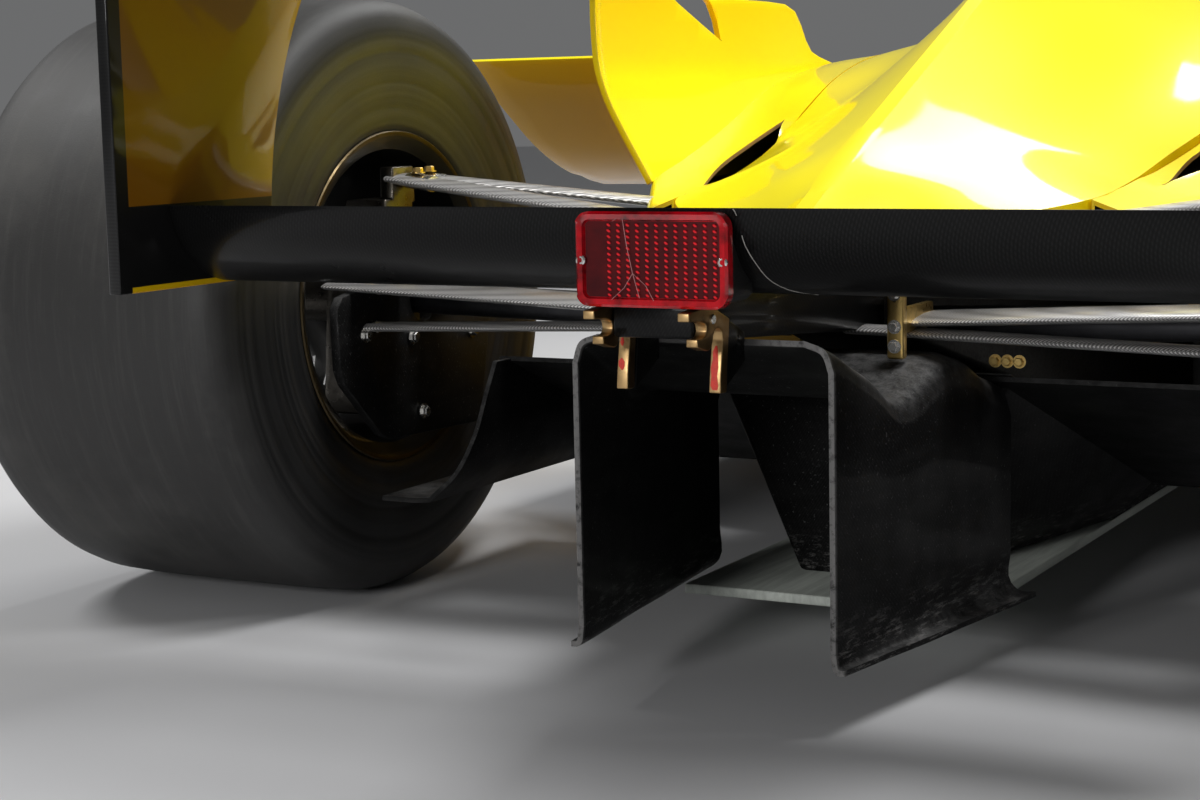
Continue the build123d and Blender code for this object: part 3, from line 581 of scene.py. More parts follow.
extraMaterials = {
    "endPlate": makePlatePaint(platePaint),
    "lampPanel": makeLampPanel(lampColours),
    "rimLip": makeMetal("darkLip", (0.10, 0.075, 0.04, 1), 0.36, 120.0, 0.3),
    "brightMetal": makeMetal("brightMetal", (0.82, 0.81, 0.78, 1), 0.24, 90.0, 0.2),
    "goldBolt": makeMetal("goldBolt", (0.80, 0.56, 0.20, 1), 0.3, 90.0, 0.3),
    "heatShield": plainMaterial("tanHeatShield", (0.42, 0.25, 0.09, 1), 0.5, 30.0),
    "mirrorGlass": makeMetal("mirrorGlass", (0.9, 0.9, 0.9, 1), 0.04, 10.0, 0.05, 0.0),
    "rubbedBronze": makeMetal("rubbedBronze", (0.56, 0.37, 0.17, 1), 0.4, 110.0, 0.4, 0.15),
    "redPaint": plainMaterial("redPaint", (0.8, 0.03, 0.008, 1), 0.5, 300.0),
    "paleScratch": plainMaterial("paleScratch", (0.62, 0.28, 0.28, 1), 0.4, 90.0),
    "barePale": plainMaterial("barePale", (0.42, 0.41, 0.38, 1), 0.5, 200.0),
    "beltWebbing": makeCloth("beltWebbing", 0.0012, 0.05, 0.12),
}

for part in frame["record"]["subparts"]:
    item = frame["nodes"][part["node"]]
    item.data.materials.clear()
    item.data.materials.append(materials[part["material_slot"]])
frame["nodes"]["rear_end_plates"].data.materials[0] = extraMaterials["endPlate"]
print("materials on the frame")


# Modelling helpers
def finishPiece(item, name, body, slotName, replaced=(), smoothAngle=35):
    applyModifiers(item)
    bpy.ops.object.transform_apply(location=True, rotation=True, scale=True)
    bpy.ops.object.shade_smooth_by_angle(angle=math.radians(smoothAngle))
    item.name = name
    item.data.name = name
    if not item.data.materials:
        item.data.materials.append(materials[slotName])
    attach(item, body)
    if replaced:
        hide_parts(*replaced)
    return item


def applyModifiers(item):
    selectOnly(item)
    for modifier in list(item.modifiers):
        bpy.ops.object.modifier_apply(modifier=modifier.name)


def joinPieces(pieces):
    deselectAll()
    for piece in pieces:
        piece.select_set(True)
    bpy.context.view_layer.objects.active = pieces[0]
    bpy.ops.object.join()
    return bpy.context.active_object


def closeSeams(item, outwards=True):
    selectOnly(item)
    bpy.ops.object.mode_set(mode="EDIT")
    bpy.ops.mesh.select_all(action="SELECT")
    bpy.ops.mesh.remove_doubles(threshold=0.00004)
    if outwards:
        bpy.ops.mesh.normals_make_consistent(inside=False)
    bpy.ops.object.mode_set(mode="OBJECT")


def copyOfNode(node):
    source = frame["nodes"][node]
    item = bpy.data.objects.new(node + "_copy", source.data.copy())
    bpy.context.collection.objects.link(item)
    closeSeams(item, False)
    return item


def addModifier(item, kind, **settings):
    modifier = item.modifiers.new(kind.lower(), kind)
    for key, value in settings.items():
        setattr(modifier, key, value)
    return modifier


def mirrorAcross(item):    # the other side of the car, joined where it meets at the middle
    addModifier(item, "MIRROR", use_clip=True, merge_threshold=0.0001)


def bevelEdges(item, width, segments, angle=35):
    addModifier(item, "BEVEL", width=width, segments=segments, limit_method="ANGLE",
                angle_limit=math.radians(angle))


def setMaterial(item, *layers):
    item.data.materials.clear()
    for material in layers:
        item.data.materials.append(material)


def easeEdges(item, width, segments, material=None, angle=35):    # width in millimetres
    bevelEdges(item, width * mm, segments, angle)
    applyModifiers(item)
    if material is not None:
        setMaterial(item, material)
    return item


def makeShell(item, thickness):    # painted outside, bare carbon inside
    closeSeams(item)
    setMaterial(item, materials["yellow_paint"], materials["carbon"])
    addModifier(item, "SOLIDIFY", thickness=thickness * mm, offset=-1, material_offset=1)
    applyModifiers(item)


def cutWith(item, cutter, operation="DIFFERENCE", **settings):
    addModifier(item, "BOOLEAN", operation=operation, object=cutter, solver="EXACT", **settings)
    applyModifiers(item)
    bpy.data.objects.remove(cutter)


def thicken(item, thickness, offset=0.0):    # thickness in millimetres
    addModifier(item, "SOLIDIFY", thickness=thickness * mm, offset=offset, use_even_offset=True)
    applyModifiers(item)


def thickSkin(rows, thickness, material=None, offset=0.0):
    sheet = skin(rows)
    thicken(sheet, thickness, offset)
    if material is not None:
        setMaterial(sheet, material)
    return sheet


# A smooth line through points, and a smooth skin through rows of points
tiny = 1e-9


def smoothLine(points, steps):
    line = []
    for index in range(len(points) - 1):
        start, end = points[index], points[index + 1]
        span = (end - start).length
        tangents = []
        for here in (index, index + 1):
            tangent = Vector((0, 0, 0))
            weight = 0
            for first in (here - 1, here):
                if 0 <= first < len(points) - 1:
                    run = points[first + 1] - points[first]
                    if run.length > tiny:
                        tangent += run / run.length ** 2
                        weight += 1 / run.length
            tangents.append(tangent / weight * span if weight else tangent)
        for step in range(steps):
            t = step / steps
            line.append(start * (2 * t ** 3 - 3 * t ** 2 + 1) + tangents[0] * (t ** 3 - 2 * t ** 2 + t)
                        + end * (3 * t ** 2 - 2 * t ** 3) + tangents[1] * (t ** 3 - t ** 2))
    line.append(points[-1])
    return line


def skin(rows):
    deselectAll()
    bpy.ops.mesh.primitive_grid_add(x_subdivisions=len(rows[0]) - 1, y_subdivisions=len(rows) - 1,
                                    size=1)
    sheet = bpy.context.active_object
    for vertex, point in zip(sheet.data.vertices, [point for row in rows for point in row]):
        vertex.co = point
    return sheet


def ribbon(line, width, thickness, material):    # a strip along a line, in millimetres
    aside = Vector((width / 2 * mm, 0, 0))
    return thickSkin([[point - aside, point + aside] for point in line], thickness, material)


def smoothRows(sections, alongSteps, groups):
    # groups: first and last column of each smooth run across, and its steps
    columns = [smoothLine(list(column), alongSteps) for column in zip(*sections)]
    rows = []
    for row in zip(*columns):
        line = []
        for first, last, steps in groups:
            line = line[:-1] + smoothLine(list(row[first:last + 1]), steps)
        rows.append(line)
    return rows


def block(corners):
    # corners: four points round the near face, then the four behind them
    deselectAll()
    bpy.ops.mesh.primitive_cube_add(size=2)
    item = bpy.context.active_object
    order = {(-1, -1, -1): 0, (1, -1, -1): 1, (1, -1, 1): 2, (-1, -1, 1): 3,
             (-1, 1, -1): 4, (1, 1, -1): 5, (1, 1, 1): 6, (-1, 1, 1): 7}
    for vertex in item.data.vertices:
        vertex.co = Vector(corners[order[tuple(round(c) for c in vertex.co)]])
    closeSeams(item)
    return item


def box(low, high):
    across = ((0, 0), (1, 0), (1, 1), (0, 1))
    ends = (low, high)
    return block([(ends[a][0], near[1], ends[b][2]) for near in ends for a, b in across])


def panel(points, depth):
    # a flat panel: its outline, and the vector of its thickness
    deselectAll()
    bpy.ops.mesh.primitive_circle_add(vertices=len(points), radius=1, fill_type="NGON")
    item = bpy.context.active_object
    for vertex, point in zip(item.data.vertices, points):
        vertex.co = point
    bpy.ops.object.mode_set(mode="EDIT")
    bpy.ops.mesh.select_all(action="SELECT")
    bpy.ops.mesh.extrude_region_move(TRANSFORM_OT_translate={"value": depth})
    bpy.ops.mesh.select_all(action="SELECT")
    bpy.ops.mesh.normals_make_consistent(inside=False)
    bpy.ops.object.mode_set(mode="OBJECT")
    return item


def millimetres(rows):
    return [tuple(value * mm for value in row) for row in rows]


def turned(rows, sides, closed=False):
    # a form about the X axis through the origin, from rows of place and radius
    deselectAll()
    bpy.ops.mesh.primitive_circle_add(vertices=sides, radius=rows[0][1],
                                      rotation=(0, math.pi / 2, 0), location=(rows[0][0], 0, 0))
    item = bpy.context.active_object
    bpy.ops.object.transform_apply(location=True, rotation=True, scale=True)
    bpy.ops.object.mode_set(mode="EDIT")
    bpy.ops.mesh.select_all(action="SELECT")
    for last, row in zip(rows, rows[1:]):
        bpy.ops.mesh.extrude_region_move(TRANSFORM_OT_translate={"value": (row[0] - last[0], 0, 0)})
        share = row[1] / last[1]
        bpy.ops.transform.resize(value=(1, share, share), center_override=(row[0], 0, 0))
    if not closed:
        bpy.ops.mesh.fill()
        bpy.ops.mesh.select_all(action="DESELECT")
    bpy.ops.object.mode_set(mode="OBJECT")
    if not closed:
        fillFirstRing(item, *rows[0])
    closeSeams(item)
    return item


def fillFirstRing(item, x, radius):
    selectOnly(item)
    for vertex in item.data.vertices:
        ring = math.hypot(vertex.co.y, vertex.co.z)
        vertex.select = abs(vertex.co.x - x) < 1e-5 and abs(ring - radius) < 1e-4
    for edge in item.data.edges:
        edge.select = all(item.data.vertices[index].select for index in edge.vertices)
    bpy.ops.object.mode_set(mode="EDIT")
    bpy.ops.mesh.select_mode(type="EDGE")
    bpy.ops.mesh.fill()
    bpy.ops.mesh.select_mode(type="VERT")
    bpy.ops.object.mode_set(mode="OBJECT")


def pointAlong(item, place, direction):
    # carries a form made about the X axis to its place
    turn = Vector((1, 0, 0)).rotation_difference(Vector(direction)).to_matrix().to_4x4()
    item.data.transform(Matrix.Translation(Vector(place)) @ turn)
    return item


def bolt(place, direction, size, material):
    head = turned([(0, size * 0.72), (size * 0.12, size * 0.72)], 20)
    flats = turned([(size * 0.1, size * 0.5), (size * 0.5, size * 0.5), (size * 0.58, size * 0.42)], 6)
    both = joinPieces([head, flats])
    setMaterial(both, material)
    return pointAlong(both, place, direction)


def cutCorners(outline, size):
    cut = []
    for index, corner in enumerate(outline):
        for other in (outline[index - 1], outline[(index + 1) % len(outline)]):
            cut.append(corner + (other - corner).normalized() * size)
    return cut


# Engine cover, in millimetres. Columns: distance behind the rear axle, height of the hem,
# then half width and height above the hem, low and high on the flank, and at the ridge
coverShape = {
    "rows": [
        (-1560, 616, 336, 636, 200, 675, 112, 805, 82, 935),
        (-1350, 560, 338, 600, 190, 645, 100, 790, 58, 950),
        (-1080, 556, 320, 598, 180, 636, 88, 756, 34, 884),
        (-800, 550, 297, 590, 170, 628, 75, 715, 16, 805),
        (-640, 520, 280, 563, 166, 598, 68, 675, 11, 747),
        (-460, 468, 259, 510, 160, 552, 65, 628, 9, 681),
        (-310, 428, 237, 473, 160, 514, 65, 578, 9, 617),
        (-180, 404, 229, 448, 156, 481, 63, 531, 9, 562),
        (-60, 385, 222, 436, 150, 458, 60, 489, 9, 511),
        (30, 385, 165, 424, 110, 440, 48, 464, 9, 474),
        (112, 385, 70, 405, 50, 413, 26, 426, 9, 437),
        (200, 376, 50, 385, 35, 389, 20, 396, 9, 402),
    ],
    "alongSteps": 6,
    "runs": [(0, 1, 1), (1, 4, 7), (4, 5, 1)],
    "top": 949.5,           # the ridge stays under the car's height
    "thickness": 4.5,
    # A point for each of the bulkhead's outline, so one comes twice
    "inlet": ((0, 785), (52, 785), (52, 785), (60, 797), (53, 898), (42, 910), (0, 910)),
    "inletDepth": 130,
    "lipBack": 6,           # the inlet's lip stands ahead of the bulkhead
    "ductWall": 3,
}


def coverOutline(row):
    hemZ, edgeX, edgeZ, lowX, lowZ, highX, highZ, ridgeX, ridgeZ = row[1:]
    return [(edgeX, hemZ), (edgeX, edgeZ), (lowX, lowZ), (highX, highZ), (ridgeX, ridgeZ), (0, ridgeZ)]


def buildCover(shape):
    sections = [[rearPoint(x, row[0], z) for x, z in coverOutline(row)] for row in shape["rows"]]
    cover = skin(smoothRows(sections, shape["alongSteps"], shape["runs"]))
    mirrorAcross(cover)
    applyModifiers(cover)
    for vertex in cover.data.vertices:
        vertex.co.z = min(vertex.co.z, shape["top"] * mm)
    makeShell(cover, shape["thickness"])
    # The air box: a bulkhead with its inlet, and the duct behind it
    behind, hemZ = shape["rows"][0][:2]
    outer = [(0, hemZ)] + coverOutline(shape["rows"][0])
    inner = shape["inlet"]
    rows = []
    for outline, depth in ((outer, 1), (inner, 1), (inner, shape["inletDepth"])):
        rows.append([rearPoint(x, behind + depth, z) for x, z in outline])
    lip = [inside.lerp(outside, 0.07) - Vector((0, shape["lipBack"] * mm, 0))
           for outside, inside in zip(rows[0], rows[1])]
    duct = skin([rows[0], lip, rows[1], rows[2]])
    mirrorAcross(duct)
    applyModifiers(duct)
    closeSeams(duct, False)
    setMaterial(duct, materials["yellow_paint"], materials["carbon"])
    for face in duct.data.polygons:
        face.material_index = int(face.center.y > rearPoint(0, behind + 4, 0).y)
    thicken(duct, shape["ductWall"])
    return finishPiece(joinPieces([cover, duct]), "engineCoverSkin", "chassis", "yellow_paint",
                       replaced=("engine_cover",), smoothAngle=20)


buildCover(coverShape)
print("engine cover")

# Side pods. Columns: distance behind the rear axle, then x and height along the deck from
# its inner to its outer edge, and x and height at the bottom's outer edge
podShape = {
    "rows": [
        (-1900, 345, 560, 450, 562, 570, 530, 655, 455, 655, 105.3),
        (-1350, 345, 600, 460, 594, 590, 555, 675, 480, 655, 105.3),
        (-1080, 324, 598, 428, 588, 552, 546, 642, 470, 600, 105.3),
        (-800, 300, 590, 390, 574, 500, 528, 590, 450, 500, 105.3),
        (-640, 283, 562, 360, 538, 450, 504, 530, 450, 420, 170),
        (-460, 262, 510, 325, 490, 395, 476, 462, 452, 340, 250),
        (-310, 240, 473, 290, 460, 345, 450, 392, 440, 300, 330),
        (-180, 232, 448, 262, 440, 295, 433, 325, 428, 275, 360),
        (-60, 225, 436, 238, 431, 251, 426, 262, 420, 255, 385),
    ],
    "alongSteps": 7,
    "runs": [(0, 1, 1), (1, 7, 5), (7, 8, 1)],
    # Shares of the way from the outer edge inwards and downwards, for its rounding
    "deckEnd": 0.28,
    "sideStart": 0.12,
    "belly": 0.6,
    "thickness": 4.5,
    "gillRear": (257, -195, 0),
    "gillFront": (289, -495, 0),
    "gillWidth": 44,
    "gillDip": 17,          # how far the deck falls away inside the gill
    "gillRise": 7,          # and stands up outside it
    "gillBlend": 62,
    "dipAbove": 420,        # heights: the deck is above both
    "cutAbove": 430,
}


def gillOutline(shape):
    rear = rearPoint(*shape["gillRear"])
    front = rearPoint(*shape["gillFront"])
    aside = Vector((shape["gillWidth"] * mm / 2, 0, 0))
    middle = (rear + front) / 2
    half = smoothLine([rear, middle + aside, front], 8)
    return half[:-1] + smoothLine([front, middle - aside, rear], 8)[:-1]


def buildPods(shape):
    sections = []
    for row in shape["rows"]:
        behind, innerX, innerZ, nearX, nearZ, farX, farZ, outerX, outerZ, lowX, lowZ = row
        inner, near, far, outer, low, under = [rearPoint(x, behind, z) for x, z in (
            (innerX, innerZ), (nearX, nearZ), (farX, farZ), (outerX, outerZ), (lowX, lowZ), (innerX, lowZ))]
        deckEnd = outer.lerp(far, shape["deckEnd"])
        sideStart = outer.lerp(low, shape["sideStart"])
        belly = outer.lerp(low, shape["belly"])
        sections.append([under, inner, near, far, deckEnd, sideStart, belly, low, under])
    pod = skin(smoothRows(sections, shape["alongSteps"], shape["runs"]))
    rear = rearPoint(*shape["gillRear"])
    front = rearPoint(*shape["gillFront"])
    for vertex in pod.data.vertices:
        share = (rear.y - vertex.co.y) / (rear.y - front.y)
        if 0 < share < 1 and vertex.co.z > shape["dipAbove"] * mm:
            lineX = rear.x + (front.x - rear.x) * share
            away = (vertex.co.x - lineX) / (shape["gillBlend"] * mm)
            ease = math.sin(math.pi * share)
            if -1 < away < 0:
                vertex.co.z -= shape["gillDip"] * mm * ease * (1 + away)
            elif 0 <= away < 1:
                vertex.co.z += shape["gillRise"] * mm * ease * (1 - away) ** 2
    makeShell(pod, shape["thickness"])
    start = Vector((0, 0, shape["cutAbove"] * mm))
    cutter = panel([point + start for point in gillOutline(shape)], (0, 0, 0.3))
    setMaterial(cutter, extraMaterials["heatShield"])
    cutWith(pod, cutter, material_mode="TRANSFER")
    other = pod.copy()
    other.data = pod.data.copy()
    bpy.context.collection.objects.link(other)
    other.data.transform(Matrix.Scale(-1, 4, (1, 0, 0)))
    other.data.flip_normals()
    both = joinPieces([pod, other])
    return finishPiece(both, "sidePodSkins", "chassis", "yellow_paint", replaced=("side_pods",),
                       smoothAngle=32)


buildPods(podShape)
print("side pods")

# Fins and ramps ahead of the rear tyres, in millimetres
finShape = {
    "section": ((384, 440), (400, 468), (420, 502), (440, 540), (452, 576), (456, 615), (456, 706)),
    "lobes": ((-1040, 430), (-300, 430), (-303, 560), (-305, 706), (-420, 706), (-470, 686),
              (-518, 664), (-648, 616), (-640, 640), (-622, 662), (-612, 668), (-700, 671),
              (-800, 671), (-860, 669), (-895, 660), (-918, 640), (-932, 620), (-950, 604),
              (-975, 597), (-1040, 585)),
    "reach": (-1040, -305),
    "thickness": 8,
    "rampSection": ((-720, 427), (-668, 437), (-618, 456), (-575, 487), (-545, 525), (-520, 562),
                    (-502, 597)),
    "rampInner": 458,
    "rampOuter": (668, 675, 752),    # below the knee, at it and at the top
    "rampKnee": (441, 600),          # heights
    "rampThickness": 7,
    "edge": 1.2,
}


def rowsAlong(section, first, last, count):
    rows = []
    for step in range(count):
        y = rearPoint(0, first + (last - first) * step / (count - 1), 0).y
        rows.append([Vector((point.x, y, point.z)) for point in section])
    return rows


def buildFins(shape):
    section = smoothLine([Vector((x * mm, 0, z * mm)) for x, z in shape["section"]], 4)
    fin = skin(rowsAlong(section, *shape["reach"], 60))
    closeSeams(fin, False)
    thicken(fin, shape["thickness"], 1.0)
    closeSeams(fin)
    cutWith(fin, panel([rearPoint(300, behind, z) for behind, z in shape["lobes"]], (0.3, 0, 0)),
            "INTERSECT")
    easeEdges(fin, shape["edge"], 2, angle=50)
    inner = shape["rampInner"]
    low, knee, high = shape["rampOuter"]
    kneeZ, topZ = shape["rampKnee"]
    rows = []
    for point in smoothLine([rearPoint(0, behind, z) for behind, z in shape["rampSection"]], 4):
        height = point.z / mm
        outer = low if height < kneeZ else knee + (high - knee) * (height - kneeZ) / (topZ - kneeZ)
        rows.append([Vector(((inner + (outer - inner) * step / 8) * mm, point.y, point.z))
                     for step in range(9)])
    ramp = thickSkin(rows, shape["rampThickness"])
    closeSeams(ramp)
    easeEdges(ramp, shape["edge"], 2, angle=50)
    both = joinPieces([fin, ramp])
    mirrorAcross(both)
    return finishPiece(both, "finsAndRamps", "chassis", "yellow_paint", replaced=("flip_ups",),
                       smoothAngle=30)


buildFins(finShape)
print("fins and ramps")

# Tyres and rims: rows are places along the axle and radii, in millimetres
wheelShape = {
    "sides": 144,
    "rearTyre": {"half": 183, "radius": 330},
    "frontTyre": {"half": 148, "radius": 325},
    "lipRadius": 183,
    "seatRadius": 171.3,
    "treadFade": (42, 36),      # the tread mark starts this far inside the radius, and its depth
    "barrelSides": 96,
    "barrelWall": 9,
    "spokes": 10,
    "spokeDepth": 95,
    "spokeReach": (40, 162),
    "spokeHalfWidth": (8.5, 6),
    "spokeThick": 18,
    "spokeLean": 0.13,
    "boss": [(-30, 44), (-28, 46), (8, 46), (14, 50), (22, 50), (30, 44), (30, 38)],
    "nut": [(29, 33), (30, 36), (52, 36), (56, 32), (56, 20), (48, 18)],
}


def tyreRows(half, radius, shape):
    seat = shape["seatRadius"]
    lip = shape["lipRadius"]
    side = [
        (0.0, radius), (half * 0.55, radius - 0.4), (half - 40, radius - 2.2), (half - 26, radius - 5.5),
        (half - 14, radius - 13), (half - 6, radius - 25), (half - 1.8, radius - 42),
        (half - 0.2, radius - 56), (half - 0.9, radius - 60), (half - 0.9, radius - 64),
        (half, radius - 68), (half - 0.4, lip + 58), (half - 1.3, lip + 54), (half - 1.5, lip + 50),
        (half - 1.3, lip + 46), (half - 2.4, lip + 32), (half - 3.6, lip + 28), (half - 4.0, lip + 22),
        (half - 3.6, lip + 18), (half - 4.6, lip + 8), (half - 6, lip + 2),
        (half - 9, lip - 1.2), (half - 19, seat),
    ]
    return [(-x, r) for x, r in reversed(side[1:])] + side


def rimRows(half, shape):
    lip, seat = half - 5, shape["seatRadius"] - 0.6
    wall = seat - shape["barrelWall"]
    outer = [(lip, 181.5), (lip - 1.5, 182.9), (lip - 4, 182), (lip - 12, seat), (lip - 60, seat),
             (lip - 75, seat - 5)]
    inner = [(lip - 1, 177), (lip - 10, wall + 1), (lip - 60, wall), (lip - 75, seat - 14)]
    return ([(-x, r) for x, r in outer] + outer[::-1] + inner
            + [(-x, r) for x, r in reversed(inner)])


def spoke(shape):
    inner, outer = shape["spokeReach"]
    halfInner, halfOuter = shape["spokeHalfWidth"]
    wide = shape["spokeThick"] / 2
    slim = wide * 0.8
    item = block(millimetres([(x, y, z) for side in (-1, 1) for x, y, z in (
        (-wide, side * halfInner, inner), (wide, side * halfInner, inner),
        (slim, side * halfOuter, outer), (-slim, side * halfOuter, outer))]))
    return easeEdges(item, 3, 2, materials["wheel_magnesium"])


def buildWheel(end, side, shape):
    sign = 1 if side == "left" else -1
    half, outside = shape[end + "Tyre"]["half"], shape[end + "Tyre"]["radius"]
    centre = middleOf(f"tyre_{end}_{side}")
    body = f"wheel_{end}_{side}"
    rows = millimetres(tyreRows(half, outside, shape))
    tyre = turned(rows + [rows[0]], shape["sides"], True)
    mark = tyre.data.attributes.new("tread", "FLOAT", "POINT")
    ring = tyre.data.attributes.new("radius", "FLOAT", "POINT")
    start, depth = shape["treadFade"]
    for vertex in tyre.data.vertices:
        radius = math.hypot(vertex.co.y, vertex.co.z)
        mark.data[vertex.index].value = min(max((radius / mm - outside + start) / depth, 0), 1)
        ring.data[vertex.index].value = radius
    tyre.data.transform(Matrix.Translation(centre))
    finishPiece(tyre, f"slick_{end}_{side}", body, "tyre_rubber", replaced=(f"tyre_{end}_{side}",))
    # Rim: barrel with two lips, a dished face of spokes, a boss and its nut
    rows = millimetres(rimRows(half, shape))
    barrel = turned(rows + [rows[0]], shape["barrelSides"], True)
    setMaterial(barrel, materials["wheel_magnesium"], extraMaterials["rimLip"])
    for face in barrel.data.polygons:
        face.material_index = int(abs(face.center.x) > (half - 10) * mm)
    toFace = Matrix.Translation((sign * (half + 1 - shape["spokeDepth"]) * mm, 0, 0))
    pieces = [barrel]
    for index in range(shape["spokes"]):
        turn = Matrix.Rotation(2 * math.pi * index / shape["spokes"], 4, "X")
        for lean in (-shape["spokeLean"], shape["spokeLean"]):
            arm = spoke(shape)
            arm.data.transform(turn @ toFace @ Matrix.Rotation(lean, 4, "X"))
            pieces.append(arm)
    for rows, sides, material in ((shape["boss"], 48, materials["wheel_magnesium"]),
                                  (shape["nut"], 6, extraMaterials["goldBolt"])):
        item = turned(millimetres(rows), sides)
        setMaterial(item, material)
        item.data.transform(toFace @ Matrix.Scale(sign, 4, (1, 0, 0)))
        if sign < 0:
            item.data.flip_normals()
        pieces.append(item)
    rim = joinPieces(pieces)
    rim.data.transform(Matrix.Translation(centre))
    finishPiece(rim, f"wheel_{end}_{side}_rim", body, "wheel_magnesium", replaced=(f"rim_{end}_{side}",))


for end in ("front", "rear"):
    for side in ("left", "right"):
        buildWheel(end, side, wheelShape)
print("wheels")

# Diffuser: ramps, side fences, keel and the tall centre channel, in millimetres
diffuserShape = {
    # Columns: behind the rear axle, half width, roof and corner
    "channel": [(-15, 160, 266, 36), (30, 156, 279, 34), (70, 152, 297, 32), (100, 149, 302, 32),
                (130, 146, 299, 30), (165, 143, 286, 28), (200, 140, 275, 26), (225, 137.5, 278, 26),
                (260, 133, 300, 26), (295, 129.5, 316, 26), (320, 127, 328, 26), (344, 125, 337, 26)],
    "channelRuns": [(0, 3, 4), (3, 4, 3), (4, 6, 5), (6, 7, 6), (7, 9, 5), (9, 10, 3), (10, 13, 4)],
    "wall": 5,
    "footRear": 8,          # the feet widen from the mouth forwards
    "footFront": 26,
    "low": 55.6,
    "rampWidth": 410,
    "rampInner": (150, 66),
    "rampStart": -420,
    "rampStep": 35,
    "rampTop": 270,
    "stepTop": 105,
    "fence": [(-12, 266), (-9, 228), (-6, 190), (9, 150), (37, 122)],    # from the ramp's edge
    "fenceFoot": 120.5,
    "fenceReach": (-290, 95),
    "fenceOutline": [(-290, 100), (95, 100), (88, 135), (70, 180), (28, 268), (-8, 268), (-290, 158)],
    # Behind the axle, half width and height of its top, half width of its foot
    "keel": [(-420, 200, 105, 150), (-20, 160, 270, 66)],
}


def channelSection(behind, halfWidth, roof, corner, shape):
    low = shape["low"]
    bend = 0.29 * corner
    mouth = shape["channel"][-1][0]
    share = (mouth - behind) / (mouth - shape["channel"][0][0])
    foot = shape["footRear"] + (shape["footFront"] - shape["footRear"]) * share
    half = [(halfWidth + foot, low + 1), (halfWidth + foot * 0.3, low + 1.6),
            (halfWidth + 0.8, low + 8), (halfWidth, low + 40), (halfWidth, roof - corner),
            (halfWidth - bend, roof - bend), (halfWidth - corner, roof)]
    outline = half + [(-x, z) for x, z in reversed(half)]
    return [rearPoint(x, behind, z) for x, z in outline]


def markWornEdge(item, behind=None, reach=1):    # the rear edge that is worn bare, if there is one
    mark = item.data.attributes.new("edgeWear", "FLOAT", "POINT")
    if behind is not None:
        edgeY = rearPoint(0, behind, 0).y
        for vertex in item.data.vertices:
            mark.data[vertex.index].value = 1 - min(max((edgeY - vertex.co.y) / (reach * mm), 0), 1)


def buildDiffuser(shape):
    sections = [channelSection(*row, shape) for row in shape["channel"]]
    channel = thickSkin(smoothRows(sections, 5, shape["channelRuns"]), shape["wall"], offset=1.0)
    closeSeams(channel)
    markWornEdge(channel, shape["channel"][-1][0], 2.5)
    width, foot, top = shape["rampWidth"], shape["stepTop"] - 4, shape["rampTop"] - 4
    inner, innerRear = shape["rampInner"]
    ramps = []
    for sign in (-1, 1):
        rows = []
        for count in range(13):
            share = count / 12
            near = inner + (innerRear - inner) * share
            rows.append([rearPoint(sign * (near + (width - near) * part / 6),
                                   shape["rampStart"] + shape["rampStep"] * count,
                                   foot + (top - foot) * share) for part in range(7)])
        ramp = thickSkin(rows, shape["wall"])
        closeSeams(ramp)
        markWornEdge(ramp)
        ramps.append(ramp)
    fenceLine = smoothLine([Vector(((width + x) * mm, 0, z * mm)) for x, z in shape["fence"]], 5)
    fenceLine += [Vector(((width + x) * mm, 0, shape["fenceFoot"] * mm)) for x in (57, 77, 97)]
    fence = thickSkin(rowsAlong(fenceLine, *shape["fenceReach"], 40), shape["wall"])
    closeSeams(fence)
    cutWith(fence, panel([rearPoint(width - 60, behind, z) for behind, z in shape["fenceOutline"]],
                         (0.22, 0, 0)), "INTERSECT")
    mirrorAcross(fence)
    applyModifiers(fence)
    markWornEdge(fence, shape["fenceReach"][1], 4)
    keel = block([rearPoint(x, behind, z) for behind, wide, high, slim in shape["keel"] for x, z in (
        (-wide, high), (wide, high), (slim, shape["low"]), (-slim, shape["low"]))])
    easeEdges(keel, 5, 3)
    markWornEdge(keel)
    return finishPiece(joinPieces([channel, keel, fence] + ramps), "diffuserPanels", "chassis",
                       "matt_carbon", replaced=("diffuser",), smoothAngle=38)


buildDiffuser(diffuserShape)
print("diffuser")

# Rear suspension arms, in millimetres: x, behind the axle and height at each end, chord, depth
rearArms = [
    ((104, 72, 330), (544, 95, 352), 92, 16),
    ((40, -260, 368), (544, 30, 356), 45, 12),
    ((40, -20, 390), (544, -10, 460), 50, 16),
    ((40, -360, 385), (544, -24, 462), 36, 13),
    ((40, 104, 322), (544, 104, 306), 30, 12),
]
armEnds = {"gap": 18, "length": 30, "chord": 0.62, "depth": 1.25, "boltBack": 12, "bolt": 11}


def streamlinedArm(start, end, chord, depth, material):
    # an arm about the X axis first, its section drawn out into a blade, then laid in place
    length = (end - start).length
    arm = turned([(0.0, 0.5), (length, 0.5)], 28)
    for vertex in arm.data.vertices:
        across = vertex.co.y
        vertex.co.y = across * chord
        vertex.co.z *= depth * (1 - 0.28 * (across + 0.5))
    axis = (end - start).normalized()
    aside = (Vector((0, 1, 0)) - axis * axis.y).normalized()
    turn = Matrix((axis, aside, axis.cross(aside))).transposed().to_4x4()
    arm.data.transform(Matrix.Translation(start) @ turn)
    setMaterial(arm, material)
    return arm


